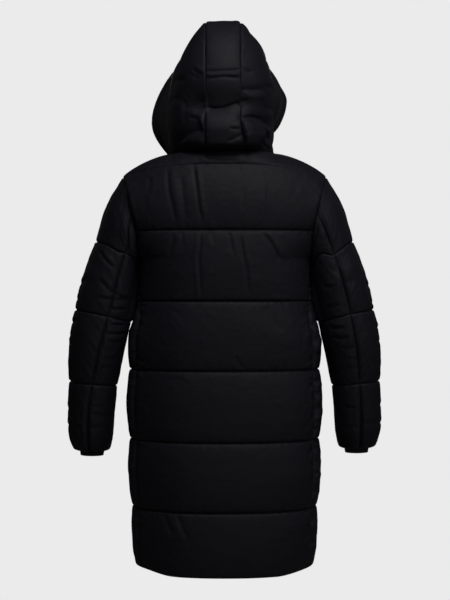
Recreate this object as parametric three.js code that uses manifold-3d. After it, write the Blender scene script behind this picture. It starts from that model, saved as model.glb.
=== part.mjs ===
// A long hooded quilted coat, filled out as if worn, closed at the front by a zip.
// Millimetres. +Z up, the front faces -Y, and the wearer's left is +X.
// The origin is the centre of the neck opening, level with the back neck seam.
import * as THREE from 'three';
import { mergeVertices } from 'three/addons/utils/BufferGeometryUtils.js';
import Module from 'manifold-3d';

const wasm = await Module();
wasm.setup();

// Driving sizes
const backLength = 992;          // back neck seam to hem
const seamGap = 0.3;             // room between neighbouring pieces
const stitchedWall = 4;          // wall where the layers are stitched together
const paddingInside = 8;         // how far a filled channel bulges inwards
const cornering = 0.9;           // 1 gives an ellipse, less gives a squarer section
const seamFlat = 0.07;           // part of a panel's width that stays flat beside its seams
const neck = { halfWidth: 118, halfDepth: 78, frontDrop: 75, step: 22.5 };
const zip = { halfWidth: 7, tape: 1.5, tapeIn: 1.2, sliderAt: 0.5 };
const armhole = { top: [244, -57], bottom: [203, -254], halfDepth: 78, scoop: 9 };
const shoulder = { yokeAngle: 15, frontAngle: -8, slopePower: 1.65 };

// Body rings at the stitched level, from hem to chest: sizes left-right and to the back and front
const bodyRings = [
  { height: -992, halfWidth: 210, back: 135, front: 139, sidePuff: 7 },
  { height: -915, halfWidth: 214, back: 138, front: 142, sidePuff: 7 },
  { height: -841, halfWidth: 219, back: 141, front: 144, sidePuff: 7 },
  { height: -760, halfWidth: 223, back: 142, front: 145, sidePuff: 7 },
  { height: -680, halfWidth: 225, back: 141, front: 145, sidePuff: 7 },
  { height: -597, halfWidth: 227, back: 138, front: 144, sidePuff: 7 },
  { height: -515, halfWidth: 226, back: 135, front: 142, sidePuff: 7 },
  { height: -440, halfWidth: 223, back: 132, front: 141, sidePuff: 7 },
  { height: -395, halfWidth: 214, back: 130, front: 140, sidePuff: 5 },
  { height: -353, halfWidth: 208, back: 128, front: 139, sidePuff: 3 },
  { height: -300, halfWidth: 202, back: 127, front: 138, sidePuff: 2 },
  { height: -254, halfWidth: 203, back: 126, front: 136, sidePuff: 0 },
  { height: -188, halfWidth: 203, back: 124, front: 132, sidePuff: 0 },
];
const channelPuff = 12;          // how far a channel stands out at the back and front
const sideSeam = { angle: 66, turnFrom: -420, depth: 110 };
const torsoCore = { sideways: 0.4, turnAt: -170 };      // where the way out starts to turn upwards
const patchBow = { back: 4, yoke: 8, front: 16 };       // how far a patch bows between its curves

// Quilting lines of the body, and the rows of each channel as parts of its height
const quiltLines = [-backLength, -841, -680, -515, -353];
const channelRows = [0, 0.15, 0.5, 0.85];
const chestLine = -188;
const underarmRows = [-353, -328, -291, -254];
const armholeAngles = [155, 130, 109.3];     // the rows between underarm and chest line
const upperRows = [0.25, 0.5, 0.75, 1];      // the rows between chest line and yoke
const yokeSeam = { depth: 100, height: -33, arc: 60, chestArc: 65, dropPower: 3 };
const yokePuff = { out: 5, filling: 0.4 };
const backColumns = 20;
const frontColumns = 10;
const neckPart = 0.4;            // part of a front's width that meets the neck

// Sleeve sections at the stitched level: outer and inner side points, depth, centre, and how far the
// back and front of a section are drawn towards the shoulder
const sleeveSections = [
  { at: 0, outX: 244, outZ: -57, inX: 203, inZ: -254, depth: 78, centre: 0, bow: -9, puff: 0 },
  { at: 1, outX: 277, outZ: -121, inX: 206, inZ: -268, depth: 77, centre: -1, bow: -10, puff: 5 },
  { at: 2, outX: 304, outZ: -200, inX: 209, inZ: -281, depth: 75, centre: -4, bow: -14, puff: 5 },
  { at: 3, outX: 331, outZ: -284, inX: 216, inZ: -330, depth: 75, centre: -6, bow: -8, puff: 6 },
  { at: 4, outX: 357, outZ: -374, inX: 228, inZ: -404, depth: 72, centre: -9, bow: -3, puff: 6 },
  { at: 5, outX: 369, outZ: -462, inX: 246, inZ: -475, depth: 68, centre: -15, bow: 0, puff: 6 },
  { at: 6, outX: 373, outZ: -545, inX: 260, inZ: -556, depth: 60, centre: -25, bow: 0, puff: 6 },
  { at: 7, outX: 372, outZ: -612, inX: 269, inZ: -620, depth: 56, centre: -36, bow: 0, puff: 6 },
  { at: 8, outX: 369, outZ: -672, inX: 274, inZ: -677, depth: 50, centre: -45, bow: 0, puff: 6 },
  { at: 9, outX: 358, outZ: -710, inX: 281, inZ: -711, depth: 40, centre: -50, bow: 0, puff: 0 },
];
// How far the end of each sleeve is pulled out and down from those sections, growing from one on
const sleevePull = { from: 5, left: { out: -1, down: 6 }, right: { out: 4, down: -1 } };
const sleeveLines = [0, 2, 4, 6, 9];
const sleeveRows = [0, 0.4, 1.2, 2, 2.35, 3, 3.65, 4, 4.35, 5, 5.65, 6, 6.45, 7.5, 8.55, 9];
const sleevePaddingInside = 5;
const sleeveSeamFlat = 0.12;
const towardsBodyLess = 0.3;     // how much less a sleeve is filled on the side towards the body
const backSleeveSeam = 4;        // the armhole points where the two sleeve seams start
const frontSleeveSeam = 12;
const rib = { columns: 16, wall: 3, clear: 1.2, narrowing: 3 };
const ribRows = [
  { along: -26, spread: 0 },
  { along: -6, spread: 0 },
  { along: 12, spread: -3 },
];

// Hood: the centre line from brow to neck, and how far each side panel bows out of a flat one
const hoodSpine = [
  { y: -118, z: 272 },
  { y: -70, z: 304 },
  { y: -18, z: 318 },
  { y: 38, z: 306 },
  { y: 84, z: 265 },
  { y: 114, z: 204 },
  { y: 124, z: 148 },
  { y: 115, z: 98 },
  { y: 120, z: 68 },
  { y: 121, z: 36 },
  { y: 109, z: 10 },
  { y: 78, z: 0 },
];
const hoodBows = [
  { at: 0, left: 122, right: 97, forward: -48 },
  { at: 0.25, left: 65, right: 57, forward: -20 },
  { at: 0.5, left: 49, right: 48, forward: 0 },
  { at: 0.75, left: 40, right: 40, forward: 27 },
  { at: 0.875, left: 26, right: 26, forward: 40 },
  { at: 1, left: 0, right: 0, forward: 50 },
];
// A higher lift raises the widest place, and lower powers fill the bow near the neck and the crown
const hoodSwell = {
  left: { lift: 1, neckPower: 0.7, crownPower: 0.75 },
  right: { lift: 1.75, neckPower: 0.85, crownPower: 0.8 },
};
const hoodCore = { sideways: 0.3, back: 0.4, frontLow: 0.3, frontHigh: 0.85, low: -20, high: 100, top: 190 };
const hoodCrown = 0.408;         // part of the centre line that the crown takes
const hoodColumns = 8;
const hoodRows = 10;
const hoodStripColumns = 4;
const hoodPadding = 10;
const hoodFold = { height: 104, reach: 13, depth: 7, from: 20, to: 90 };
const rim = { width: 56, endWidth: 20, taper: 0.12, puff: 22, endPuff: 0.25, inside: 6 };
const rimRows = [0, 0.15, 0.5, 0.85, 1];

// Zip slider and pull tab
const slider = { width: 9.4, length: 14, height: 2.6, earWidth: 1.6, earLength: 5, earHeight: 3.4 };
const sliderLap = 0.2;           // how far the ears are sunk into the slider's plate
const tab = {
  width: 7.4,
  neckWidth: 4.6,
  neckLength: 5,
  taper: 1.5,
  length: 28,
  thickness: 1.6,
  hole: 1.5,
  pivot: 1.9,
};

const black = 0x17151a;
const cloth = new THREE.MeshStandardMaterial({ color: black, roughness: 0.62, metalness: 0 });
const coat = new THREE.Group();

const degrees = THREE.MathUtils.degToRad;
const mix = THREE.MathUtils.lerp;
const vector = (x, y, z) => new THREE.Vector3(x, y, z);

// A sine or cosine raised to a power without losing its sign
function rounded(value, power) {
  return Math.sign(value) * Math.abs(value) ** power;
}

// A smooth curve through one column of a table, read at a value of its key column
function readTable(rows, key, at, column) {
  let k = 0;
  while (k < rows.length - 2 && at > rows[k + 1][key]) k += 1;
  const [before, from, to, after] = [rows[Math.max(k - 1, 0)], rows[k], rows[k + 1],
    rows[Math.min(k + 2, rows.length - 1)]];
  const span = to[key] - from[key];
  const t = (at - from[key]) / span;
  const leave = (to[column] - before[column]) / (to[key] - before[key]) * span;
  const arrive = (after[column] - from[column]) / (after[key] - from[key]) * span;
  const rise = to[column] - from[column];
  return from[column] + t * (leave + t * (3 * rise - 2 * leave - arrive + t * (leave + arrive - 2 * rise)));
}

// How full a channel is between its two stitched lines, 0 on them and 1 at its crest
function fullness(part) {
  return Math.sin(Math.PI * THREE.MathUtils.clamp(part, 0, 1)) ** 0.6;
}

// 0 on the edge of a panel and 1 away from it
function awayFromEdge(part, flat = seamFlat) {
  return THREE.MathUtils.smoothstep(Math.min(part, 1 - part), 0, flat);
}

// A closed wall from a grid of outer and inner points. A ring joins its last column to its first.
// Each four-cornered face is split along its shorter diagonal, so neighbours at a seam split alike.
function wallGeometry(columns, rows, pairAt, ring = false) {
  const across = ring ? columns : columns + 1;
  const sheets = { outer: [], inner: [] };
  for (let j = 0; j <= rows; j += 1) {
    for (let i = 0; i < across; i += 1) {
      const pair = pairAt(i, j);
      sheets.outer.push(...pair.outer.toArray());
      sheets.inner.push(...pair.inner.toArray());
    }
  }
  const outer = (i, j) => j * across + (ring ? i % columns : i);
  const inner = (i, j) => across * (rows + 1) + outer(i, j);
  const faces = [];
  const positions = new Float32Array([...sheets.outer, ...sheets.inner]);
  const spot = (k) => vector().fromArray(positions, 3 * k);
  const quad = (a, b, c, d) => {
    const split = spot(a).distanceTo(spot(c)) <= spot(b).distanceTo(spot(d));
    faces.push(...(split ? [a, b, c, a, c, d] : [a, b, d, b, c, d]));
  };
  for (let j = 0; j < rows; j += 1) {
    for (let i = 0; i < columns; i += 1) {
      quad(outer(i, j), outer(i + 1, j), outer(i + 1, j + 1), outer(i, j + 1));
      quad(inner(i, j), inner(i, j + 1), inner(i + 1, j + 1), inner(i + 1, j));
    }
  }
  for (let i = 0; i < columns; i += 1) {
    quad(outer(i, 0), inner(i, 0), inner(i + 1, 0), outer(i + 1, 0));
    quad(outer(i, rows), outer(i + 1, rows), inner(i + 1, rows), inner(i, rows));
  }
  for (let j = 0; j < rows && !ring; j += 1) {
    quad(outer(0, j), outer(0, j + 1), inner(0, j + 1), inner(0, j));
    quad(outer(columns, j), inner(columns, j), inner(columns, j + 1), outer(columns, j + 1));
  }
  return facingOut(positions, faces);
}

// Turns the faces round if they enclose a negative volume
function facingOut(positions, faces) {
  const corner = (k) => vector().fromArray(positions, 3 * faces[k]);
  let volume = 0;
  for (let k = 0; k < faces.length; k += 3) {
    volume += corner(k).dot(corner(k + 1).cross(corner(k + 2)));
  }
  for (let k = 0; k < faces.length && volume < 0; k += 3) {
    [faces[k + 1], faces[k + 2]] = [faces[k + 2], faces[k + 1]];
  }
  const geometry = new THREE.BufferGeometry();
  geometry.setAttribute('position', new THREE.BufferAttribute(positions, 3));
  geometry.setIndex(faces);
  geometry.computeVertexNormals();
  return geometry;
}

function addPiece(name, geometry, material = cloth.clone()) {
  const mesh = new THREE.Mesh(geometry, material);
  mesh.name = name;
  coat.add(mesh);
  return mesh;
}

// The way out of the torso wall at a point: sideways low down, and over the shoulders higher up
function torsoOut(point) {
  const rise = Math.max(0, point.z - torsoCore.turnAt);
  return vector(torsoCore.sideways * point.x, point.y, rise).normalize();
}

// An outer point raised by the padding, and the inner point behind it
function torsoWall(base, out, full) {
  const way = torsoOut(base);
  return {
    outer: base.clone().addScaledVector(way, out * full),
    inner: base.clone().addScaledVector(way, -stitchedWall - paddingInside * full),
  };
}

// The armhole seam on the left side; 0 degrees is the shoulder, 90 the back and 180 the underarm
function armholePoint(angle) {
  const turn = degrees(angle);
  const middle = (1 + Math.cos(turn)) / 2;
  return vector(
    mix(armhole.bottom[0], armhole.top[0], middle) - armhole.scoop * Math.sin(turn) ** 2,
    armhole.halfDepth * Math.sin(turn),
    mix(armhole.bottom[1], armhole.top[1], middle),
  );
}

function armholeHeight(angle) {
  return armholePoint(angle).z;
}

// The neck seam, straight between its sample angles; 0 degrees is the back, 90 the left side
function neckSample(angle) {
  const turn = degrees(angle);
  const drop = neck.frontDrop * Math.max(0, -Math.cos(turn)) ** 1.5;
  return vector(neck.halfWidth * Math.sin(turn), neck.halfDepth * Math.cos(turn), -drop);
}

function neckPoint(angle) {
  const from = neck.step * Math.floor(angle / neck.step);
  return neckSample(from).lerp(neckSample(from + neck.step), (angle - from) / neck.step);
}

// A point of the body ring at a height; 0 degrees is the centre back and 180 the centre front
function ringPoint(height, angle) {
  const turn = degrees(angle);
  const size = (column) => readTable(bodyRings, 'height', height, column);
  const depth = Math.cos(turn) > 0 ? size('back') : size('front');
  return vector(
    size('halfWidth') * rounded(Math.sin(turn), cornering),
    depth * rounded(Math.cos(turn), cornering),
    height,
  );
}

// The angle of the side seam, which turns forwards to the underarm
function seamAngle(height) {
  const rise = THREE.MathUtils.smoothstep(height, sideSeam.turnFrom, armhole.bottom[1]);
  return mix(sideSeam.angle, 90, rise);
}

// A row above the underarm, from one end through the middle depth, as part of a rounded section
function archPoint(end, depth, height, arc, across) {
  const turn = degrees(arc);
  const part = (angle) => rounded(Math.cos(angle), cornering);
  const bulge = (part(across * turn) - part(turn)) / (1 - part(turn));
  const x = rounded(Math.sin(across * turn) / Math.sin(turn), cornering);
  return vector(end.x * x, mix(end.y, depth, bulge), height);
}

// Rows of the torso, from hem to yoke: height, and above the underarm the armhole angle it ends at
const torsoRows = [];
quiltLines.slice(0, -1).forEach((bottom, k) => {
  const top = quiltLines[k + 1];
  channelRows.forEach((part) => torsoRows.push({ height: mix(bottom, top, part), part }));
});
underarmRows.forEach((height) => {
  torsoRows.push({ height, part: (height - underarmRows[0]) / (chestLine - underarmRows[0]) });
});
armholeAngles.forEach((angle) => {
  const height = armholeHeight(angle);
  torsoRows.push({ height, angle, part: (height - underarmRows[0]) / (chestLine - underarmRows[0]) });
});
upperRows.forEach((upper) => torsoRows.push({ upper, part: upper }));

// The angle that a row between chest line and yoke reaches on the armhole
function upperAngle(upper, last) {
  return mix(armholeAngles[2], last, upper);
}

// The arc of a row between underarm and chest line
function archArc(angle) {
  return mix(90, yokeSeam.chestArc, Math.sin(degrees(angle)) / Math.sin(degrees(armholeAngles[2])));
}

// The part of a torso row at or below the chest line; across runs from the middle to the left edge
function lowerBack(row, across) {
  if (row.angle === undefined) {
    return ringPoint(row.height, across * seamAngle(row.height));
  }
  const depth = readTable(bodyRings, 'height', row.height, 'back');
  return archPoint(armholePoint(row.angle), depth, row.height, archArc(row.angle), across);
}

function lowerFront(row, across) {
  if (row.angle === undefined) {
    const size = readTable(bodyRings, 'height', row.height, 'halfWidth');
    const first = 180 - THREE.MathUtils.radToDeg(Math.asin((zip.halfWidth / size) ** (1 / cornering)));
    return ringPoint(row.height, mix(first, seamAngle(row.height), across));
  }
  const end = armholePoint(-row.angle);
  const depth = -readTable(bodyRings, 'height', row.height, 'front');
  const point = archPoint(end, depth, row.height, archArc(row.angle), across);
  point.x = zip.halfWidth + point.x * (1 - zip.halfWidth / end.x);
  return point;
}

// The seam between the back and the yoke
function yokeLine(across) {
  const end = armholePoint(shoulder.yokeAngle);
  const point = archPoint(end, yokeSeam.depth, yokeSeam.height, yokeSeam.arc, across);
  point.z = mix(yokeSeam.height, end.z, Math.abs(point.x / end.x) ** yokeSeam.dropPower);
  return point;
}

// The shoulder seam from neck to armhole
function shoulderLine(part) {
  const from = neckSample(90);
  const to = armholePoint(shoulder.frontAngle);
  const point = from.clone().lerp(to, part);
  point.z = mix(from.z, to.z, part ** shoulder.slopePower);
  return point;
}

// The top edge of a front: the neck first, then the shoulder seam
function frontTop(across) {
  if (across > neckPart) {
    return shoulderLine((across - neckPart) / (1 - neckPart));
  }
  const point = neckPoint(180 - 90 * across / neckPart);
  if (across === 0) {
    point.lerp(neckSample(180 - neck.step), zip.halfWidth / neckSample(180 - neck.step).x);
  }
  return point;
}

// The top edge of the yoke
function yokeTop(across) {
  const away = Math.abs(across);
  const point = away > neckPart ? shoulderLine((away - neckPart) / (1 - neckPart))
    : neckPoint(90 * away / neckPart);
  point.x *= Math.sign(across);
  return point;
}

// A patch between a lower and an upper curve, bowed out, with its end held on the armhole
function patchPoint(lower, upper, end, across, part, bow) {
  const at = (a) => lower(a).lerp(upper(a), part);
  const side = Math.sign(across) || 1;
  const hold = vector(side * end.x, end.y, end.z).sub(at(side));
  const point = at(across).addScaledVector(hold, Math.abs(across) ** 4);
  const lift = bow * Math.sin(Math.PI * part) * (1 - Math.abs(across) ** 4);
  return point.addScaledVector(torsoOut(point), lift);
}

const lastRow = torsoRows.length - 1;
const chestRow = torsoRows[lastRow - upperRows.length];

// How far a channel stands out: less at the sides than at the back and front
function standOut(row, base) {
  if (row.height === undefined) return channelPuff;
  const side = readTable(bodyRings, 'height', row.height, 'sidePuff');
  return mix(side, channelPuff, Math.min(1, Math.abs(base.y) / sideSeam.depth));
}

// The back and the fronts are cut in two at the waist line, where both pieces stay clear of each other
const waistRow = torsoRows.findIndex((row) => row.height === underarmRows[0]);
const bodyCuts = { skirt: [0, waistRow], upper: [waistRow, lastRow] };

function bodyPieces(nameOf, columns, pairAt) {
  for (const [part, [first, last]] of Object.entries(bodyCuts)) {
    const lift = (part === 'skirt' ? -seamGap : seamGap) / 2;
    addPiece(nameOf(part), wallGeometry(columns, last - first, (i, j) => {
      const pair = pairAt(i, first + j);
      if (first + j === waistRow) {
        pair.outer.z += lift;
        pair.inner.z += lift;
      }
      return pair;
    }));
  }
}

// The back: the whole width, side seam to side seam, up to the yoke
bodyPieces((part) => `back_${part}`, backColumns, (i, j) => {
  const row = torsoRows[j];
  const across = 2 * i / backColumns - 1;
  let base;
  if (row.upper === undefined) {
    base = lowerBack(row, Math.abs(across));
    base.x *= Math.sign(across);
  } else {
    const mirrored = (a) => {
      const point = lowerBack(chestRow, Math.abs(a));
      point.x *= Math.sign(a) || 1;
      return point;
    };
    const end = armholePoint(upperAngle(row.upper, shoulder.yokeAngle));
    base = patchPoint(mirrored, yokeLine, end, across, row.upper, patchBow.back);
  }
  const full = fullness(row.part) * awayFromEdge(i / backColumns);
  return torsoWall(base, standOut(row, base), full);
});

// The yoke lies between the back, the neck and the shoulder seams
const yokeRows = [0, 0.5, 1];
addPiece('back_yoke', wallGeometry(backColumns, yokeRows.length - 1, (i, j) => {
  const across = 2 * i / backColumns - 1;
  const part = yokeRows[j];
  const end = armholePoint(mix(shoulder.yokeAngle, shoulder.frontAngle, part));
  const base = patchPoint(yokeLine, yokeTop, end, across, part, patchBow.yoke);
  if (j === 0) {
    base.z += seamGap * 1.2;
    base.y -= seamGap;
  }
  const full = yokePuff.filling * fullness(part) * awayFromEdge(i / backColumns);
  return torsoWall(base, yokePuff.out, full);
}));

// One front, from the zip to the side seam, and up to the neck and shoulder
function frontPair(side, i, j) {
  const row = torsoRows[j];
  const across = i / frontColumns;
  let base;
  if (row.upper === undefined) {
    base = lowerFront(row, across);
  } else {
    const end = armholePoint(-upperAngle(row.upper, -shoulder.frontAngle));
    base = patchPoint((a) => lowerFront(chestRow, a), frontTop, end, across, row.upper, patchBow.front);
  }
  const seam = i === frontColumns && row.upper === undefined && row.angle === undefined;
  if (seam) {
    base.y -= seamGap;
    base.x += seamGap;
  }
  if (row.upper === 1) {
    base.y -= seamGap * 1.5;
    base.z -= seamGap * 0.5;
  }
  const full = fullness(row.part) * awayFromEdge(across, 2 * seamFlat);
  const pair = torsoWall(base, standOut(row, base), full);
  pair.outer.x *= side;
  pair.inner.x *= side;
  return pair;
}

bodyPieces((part) => `front_${part}_left`, frontColumns, (i, j) => frontPair(1, i, j));
bodyPieces((part) => `front_${part}_right`, frontColumns, (i, j) => frontPair(-1, i, j));

// The armhole points that the torso's rows end at, from the underarm up the back and down the front
const rowAngles = (last) => [...armholeAngles, ...upperRows.map((upper) => upperAngle(upper, last))];
const sleeveAngles = [
  180,
  ...rowAngles(shoulder.yokeAngle),
  mix(shoulder.yokeAngle, shoulder.frontAngle, 0.5),
  ...rowAngles(-shoulder.frontAngle).reverse().map((angle) => -angle),
];

// A point of the sleeve at the stitched level, its way out, and the way down the sleeve
function sleeveFrame(hand, at, angle) {
  const value = (column) => readTable(sleeveSections, 'at', at, column);
  const last = sleeveSections.at(-1).at;
  const pulled = THREE.MathUtils.smoothstep(at, sleevePull.from, last);
  const pull = vector(sleevePull[hand].out, 0, -sleevePull[hand].down).multiplyScalar(pulled);
  const outer = vector(value('outX'), value('centre'), value('outZ')).add(pull);
  const inner = vector(value('inX'), value('centre'), value('inZ')).add(pull);
  const width = outer.clone().sub(inner);
  const wide = width.clone().normalize();
  const down = vector(wide.z, 0, -wide.x);
  const turn = degrees(angle);
  const depth = value('depth');
  const base = outer.clone().add(inner).multiplyScalar(0.5);
  base.addScaledVector(width, 0.5 * Math.cos(turn));
  base.y += depth * Math.sin(turn);
  base.addScaledVector(down, value('bow') * Math.sin(turn) ** 2);
  const way = wide.clone().multiplyScalar(Math.cos(turn) * depth);
  way.y = Math.sin(turn) * width.length() / 2;
  return { base, way: way.normalize(), down, puff: value('puff') };
}

function sleeveFullness(at) {
  const k = Math.min(sleeveLines.findLastIndex((line) => at >= line), sleeveLines.length - 2);
  return fullness((at - sleeveLines[k]) / (sleeveLines[k + 1] - sleeveLines[k]));
}

// A stretch of the sleeve between two of its lengthwise seams
function sleevePiece(kind, hand, side, first, last) {
  const columns = last - first;
  addPiece(`sleeve_${kind}_${hand}`, wallGeometry(columns, sleeveRows.length - 1, (i, j) => {
    const at = sleeveRows[j];
    const around = (first + i) % sleeveAngles.length;
    const { base, way, down, puff } = sleeveFrame(hand, at, sleeveAngles[around]);
    const towardsBody = 0.5 - 0.5 * Math.cos(degrees(sleeveAngles[around]));
    const full = sleeveFullness(at) * awayFromEdge(i / columns, sleeveSeamFlat);
    if (at === 0) {
      base.copy(armholePoint(sleeveAngles[around])).addScaledVector(down, seamGap);
    }
    if (i === 0 || i === columns) {
      const neighbour = around + (i === 0 ? 1 : -1);
      const next = sleeveFrame(hand, at, sleeveAngles[neighbour % sleeveAngles.length]).base;
      base.addScaledVector(next.sub(base).normalize(), seamGap / 2);
    }
    const outer = base.clone().addScaledVector(way, puff * full * (1 - towardsBodyLess * towardsBody));
    const inner = base.clone().addScaledVector(way, -stitchedWall - sleevePaddingInside * full);
    outer.x *= side;
    inner.x *= side;
    return { outer, inner };
  }));
}

// The rib cuff stands just inside the end of the sleeve and shows below it
function ribCuff(hand, side) {
  addPiece(`rib_cuff_${hand}`, wallGeometry(rib.columns, ribRows.length - 1, (i, j) => {
    const { base, way, down } = sleeveFrame(hand, sleeveSections.at(-1).at, 360 * i / rib.columns);
    const row = ribRows[j];
    base.addScaledVector(way, -stitchedWall - rib.clear - rib.narrowing + row.spread);
    base.addScaledVector(down, row.along);
    const inner = base.clone().addScaledVector(way, -rib.wall);
    base.x *= side;
    inner.x *= side;
    return { outer: base, inner };
  }, true));
}

const hands = [['left', 1], ['right', -1]];
for (const [hand, side] of hands) {
  sleevePiece('outer', hand, side, backSleeveSeam, frontSleeveSeam);
  sleevePiece('under', hand, side, frontSleeveSeam, backSleeveSeam + sleeveAngles.length);
  ribCuff(hand, side);
}

// The way out of the hood wall at a point
function hoodOut(point) {
  const raised = THREE.MathUtils.smoothstep(point.z, hoodCore.low, hoodCore.high);
  const follow = point.y < 0 ? mix(hoodCore.frontLow, hoodCore.frontHigh, raised) : hoodCore.back;
  const core = vector(hoodCore.sideways * point.x, follow * point.y, Math.min(point.z, hoodCore.top));
  return point.clone().sub(core).normalize();
}

const spineCurve = new THREE.CatmullRomCurve3(hoodSpine.map(({ y, z }) => vector(0, y, z + seamGap)));
const stripHalfWidth = neckSample(neck.step).x;
const stripDrop = neck.halfDepth - neckSample(neck.step).y;

// A point of the hood's centre strip; along runs from brow to neck and across from -1 to 1
function stripPoint(along, across) {
  const point = spineCurve.getPointAt(along);
  point.addScaledVector(hoodOut(point), -stripDrop * across ** 2);
  point.x = stripHalfWidth * across;
  return point;
}

// How far a side panel has bowed out between the neck, 0, and the crown, 1
function hoodBow(hand, up) {
  const { lift, neckPower, crownPower } = hoodSwell[hand];
  return Math.sin(Math.PI * up ** lift) ** mix(neckPower, crownPower, up);
}

// A point of a hood side panel; along runs from the face opening to the back, up from neck to crown
function hoodSidePoint(hand, along, up) {
  const bow = (column) => readTable(hoodBows, 'at', along, column) * hoodBow(hand, up);
  const low = neckPoint(mix(180 - neck.step, neck.step, along));
  low.z += seamGap;
  const point = low.lerp(stripPoint(hoodCrown * along, 1), up);
  point.add(vector(bow(hand), bow('forward'), 0));
  const backEdge = neckPoint(neck.step).setZ(seamGap).lerp(stripPoint(hoodCrown, 1), up);
  backEdge.y += hoodBows.at(-1).forward * hoodBow(hand, up);
  const hold = stripPoint(1 - (1 - hoodCrown) * up, 1).sub(backEdge);
  return point.addScaledVector(hold, along ** 3);
}

// The deep fold across the back of the hood
function foldDepth(point) {
  const away = (point.z - hoodFold.height) / hoodFold.reach;
  const towardsBack = THREE.MathUtils.smoothstep(point.y, hoodFold.from, hoodFold.to);
  return hoodFold.depth * Math.exp(-away * away) * towardsBack;
}

function hoodWall(base, full) {
  const way = hoodOut(base);
  return {
    outer: base.clone().addScaledVector(way, -foldDepth(base) * full),
    inner: base.clone().addScaledVector(way, -stitchedWall - hoodPadding * full),
  };
}

// Stations along the strip: the crown's columns first, then the side panels' rows down the back
const stripStations = [];
for (let i = 0; i <= hoodColumns; i += 1) {
  stripStations.push(hoodCrown * i / hoodColumns);
}
for (let j = hoodRows - 1; j >= 0; j -= 1) {
  stripStations.push(1 - (1 - hoodCrown) * j / hoodRows);
}

addPiece('hood_centre', wallGeometry(hoodStripColumns, stripStations.length - 1, (i, j) => {
  const across = 2 * i / hoodStripColumns - 1;
  const base = stripPoint(stripStations[j], across);
  const ends = awayFromEdge(j / (stripStations.length - 1));
  const pair = hoodWall(base, ends * awayFromEdge(i / hoodStripColumns, 0.2));
  const trim = Math.abs(across) === 1 ? Math.sign(across) * seamGap / 2 : 0;
  pair.outer.x -= trim;
  pair.inner.x -= trim;
  return pair;
}));

function hoodSide(hand, side) {
  addPiece(`hood_side_${hand}`, wallGeometry(hoodColumns, hoodRows, (i, j) => {
    const base = hoodSidePoint(hand, i / hoodColumns, j / hoodRows);
    const full = awayFromEdge(i / hoodColumns, 0.2) * awayFromEdge(j / hoodRows, 0.15);
    const pair = hoodWall(base, full);
    const trim = i === hoodColumns || j === hoodRows ? seamGap / 2 : 0;
    pair.outer.x = side * (pair.outer.x + trim);
    pair.inner.x = side * (pair.inner.x + trim);
    return pair;
  }));
}

hoodSide('left', 1);
hoodSide('right', -1);

// The face opening, from the left end at the neck over the brow to the right end
const opening = [];
for (let j = 0; j <= hoodRows; j += 1) {
  opening.push(hoodSidePoint('left', 0, j / hoodRows));
}
for (let i = hoodStripColumns - 1; i > 0; i -= 1) {
  opening.push(stripPoint(0, 2 * i / hoodStripColumns - 1));
}
for (let j = hoodRows; j >= 0; j -= 1) {
  opening.push(hoodSidePoint('right', 0, j / hoodRows).multiply(vector(-1, 1, 1)));
}

// The padded rim carries the hood's surface forwards from the face opening and swells out of it
addPiece('hood_rim', wallGeometry(rimRows.length - 1, opening.length - 1, (i, j) => {
  const part = rimRows[i];
  const point = opening[j].clone();
  const last = opening.length - 1;
  const tangent = opening[Math.min(j + 1, last)].clone().sub(opening[Math.max(j - 1, 0)]).normalize();
  const way = hoodOut(point);
  const forwards = way.clone().cross(tangent).normalize();
  const fromEnd = Math.min(j, last - j) / last;
  const open = THREE.MathUtils.smoothstep(fromEnd, 0, rim.taper);
  point.addScaledVector(forwards, seamGap + mix(rim.endWidth, rim.width, open) * part);
  const swell = fullness(part) * mix(rim.endPuff, 1, open);
  return {
    outer: point.clone().addScaledVector(way, rim.puff * swell),
    inner: point.clone().addScaledVector(way, -stitchedWall - rim.inside * swell),
  };
}));

// The zip tapes fill the gap between the fronts, set back into it
function tapePoint(side, j, reach, back) {
  const edge = frontPair(1, 0, j).outer;
  const way = torsoOut(edge);
  edge.addScaledVector(way, -back);
  edge.x = side * reach;
  return edge;
}

for (const [hand, side] of hands) {
  const material = cloth.clone();
  material.roughness = 0.8;
  addPiece(`zip_tape_${hand}`, wallGeometry(1, lastRow, (i, j) => {
    const reach = i === 0 ? seamGap / 2 : zip.halfWidth - seamGap;
    return {
      outer: tapePoint(side, j, reach, zip.tapeIn),
      inner: tapePoint(side, j, reach, zip.tapeIn + zip.tape),
    };
  }), material);
}

// The slider sits near the top of the zip, square to it
const metal = new THREE.MeshStandardMaterial({ color: 0x2a2a2d, roughness: 0.35, metalness: 0.9 });
const zipLow = tapePoint(1, lastRow - 1, 0, zip.tapeIn);
const zipHigh = tapePoint(1, lastRow, 0, zip.tapeIn);
const zipSlope = Math.atan2(zipHigh.y - zipLow.y, zipHigh.z - zipLow.z);
const hardware = new THREE.Group();
hardware.position.copy(zipLow.clone().lerp(zipHigh, zip.sliderAt));
hardware.rotation.x = -zipSlope;
coat.add(hardware);

// A box, given by its centre, as a solid
function block(width, depth, height, x, y, z) {
  const geometry = new THREE.BoxGeometry(width, depth, height).translate(x, y, z);
  geometry.deleteAttribute('normal');
  geometry.deleteAttribute('uv');
  const merged = mergeVertices(geometry);
  const vertProperties = new Float32Array(merged.attributes.position.array);
  const triVerts = new Uint32Array(merged.index.array);
  return new wasm.Manifold(new wasm.Mesh({ numProp: 3, vertProperties, triVerts }));
}

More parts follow.
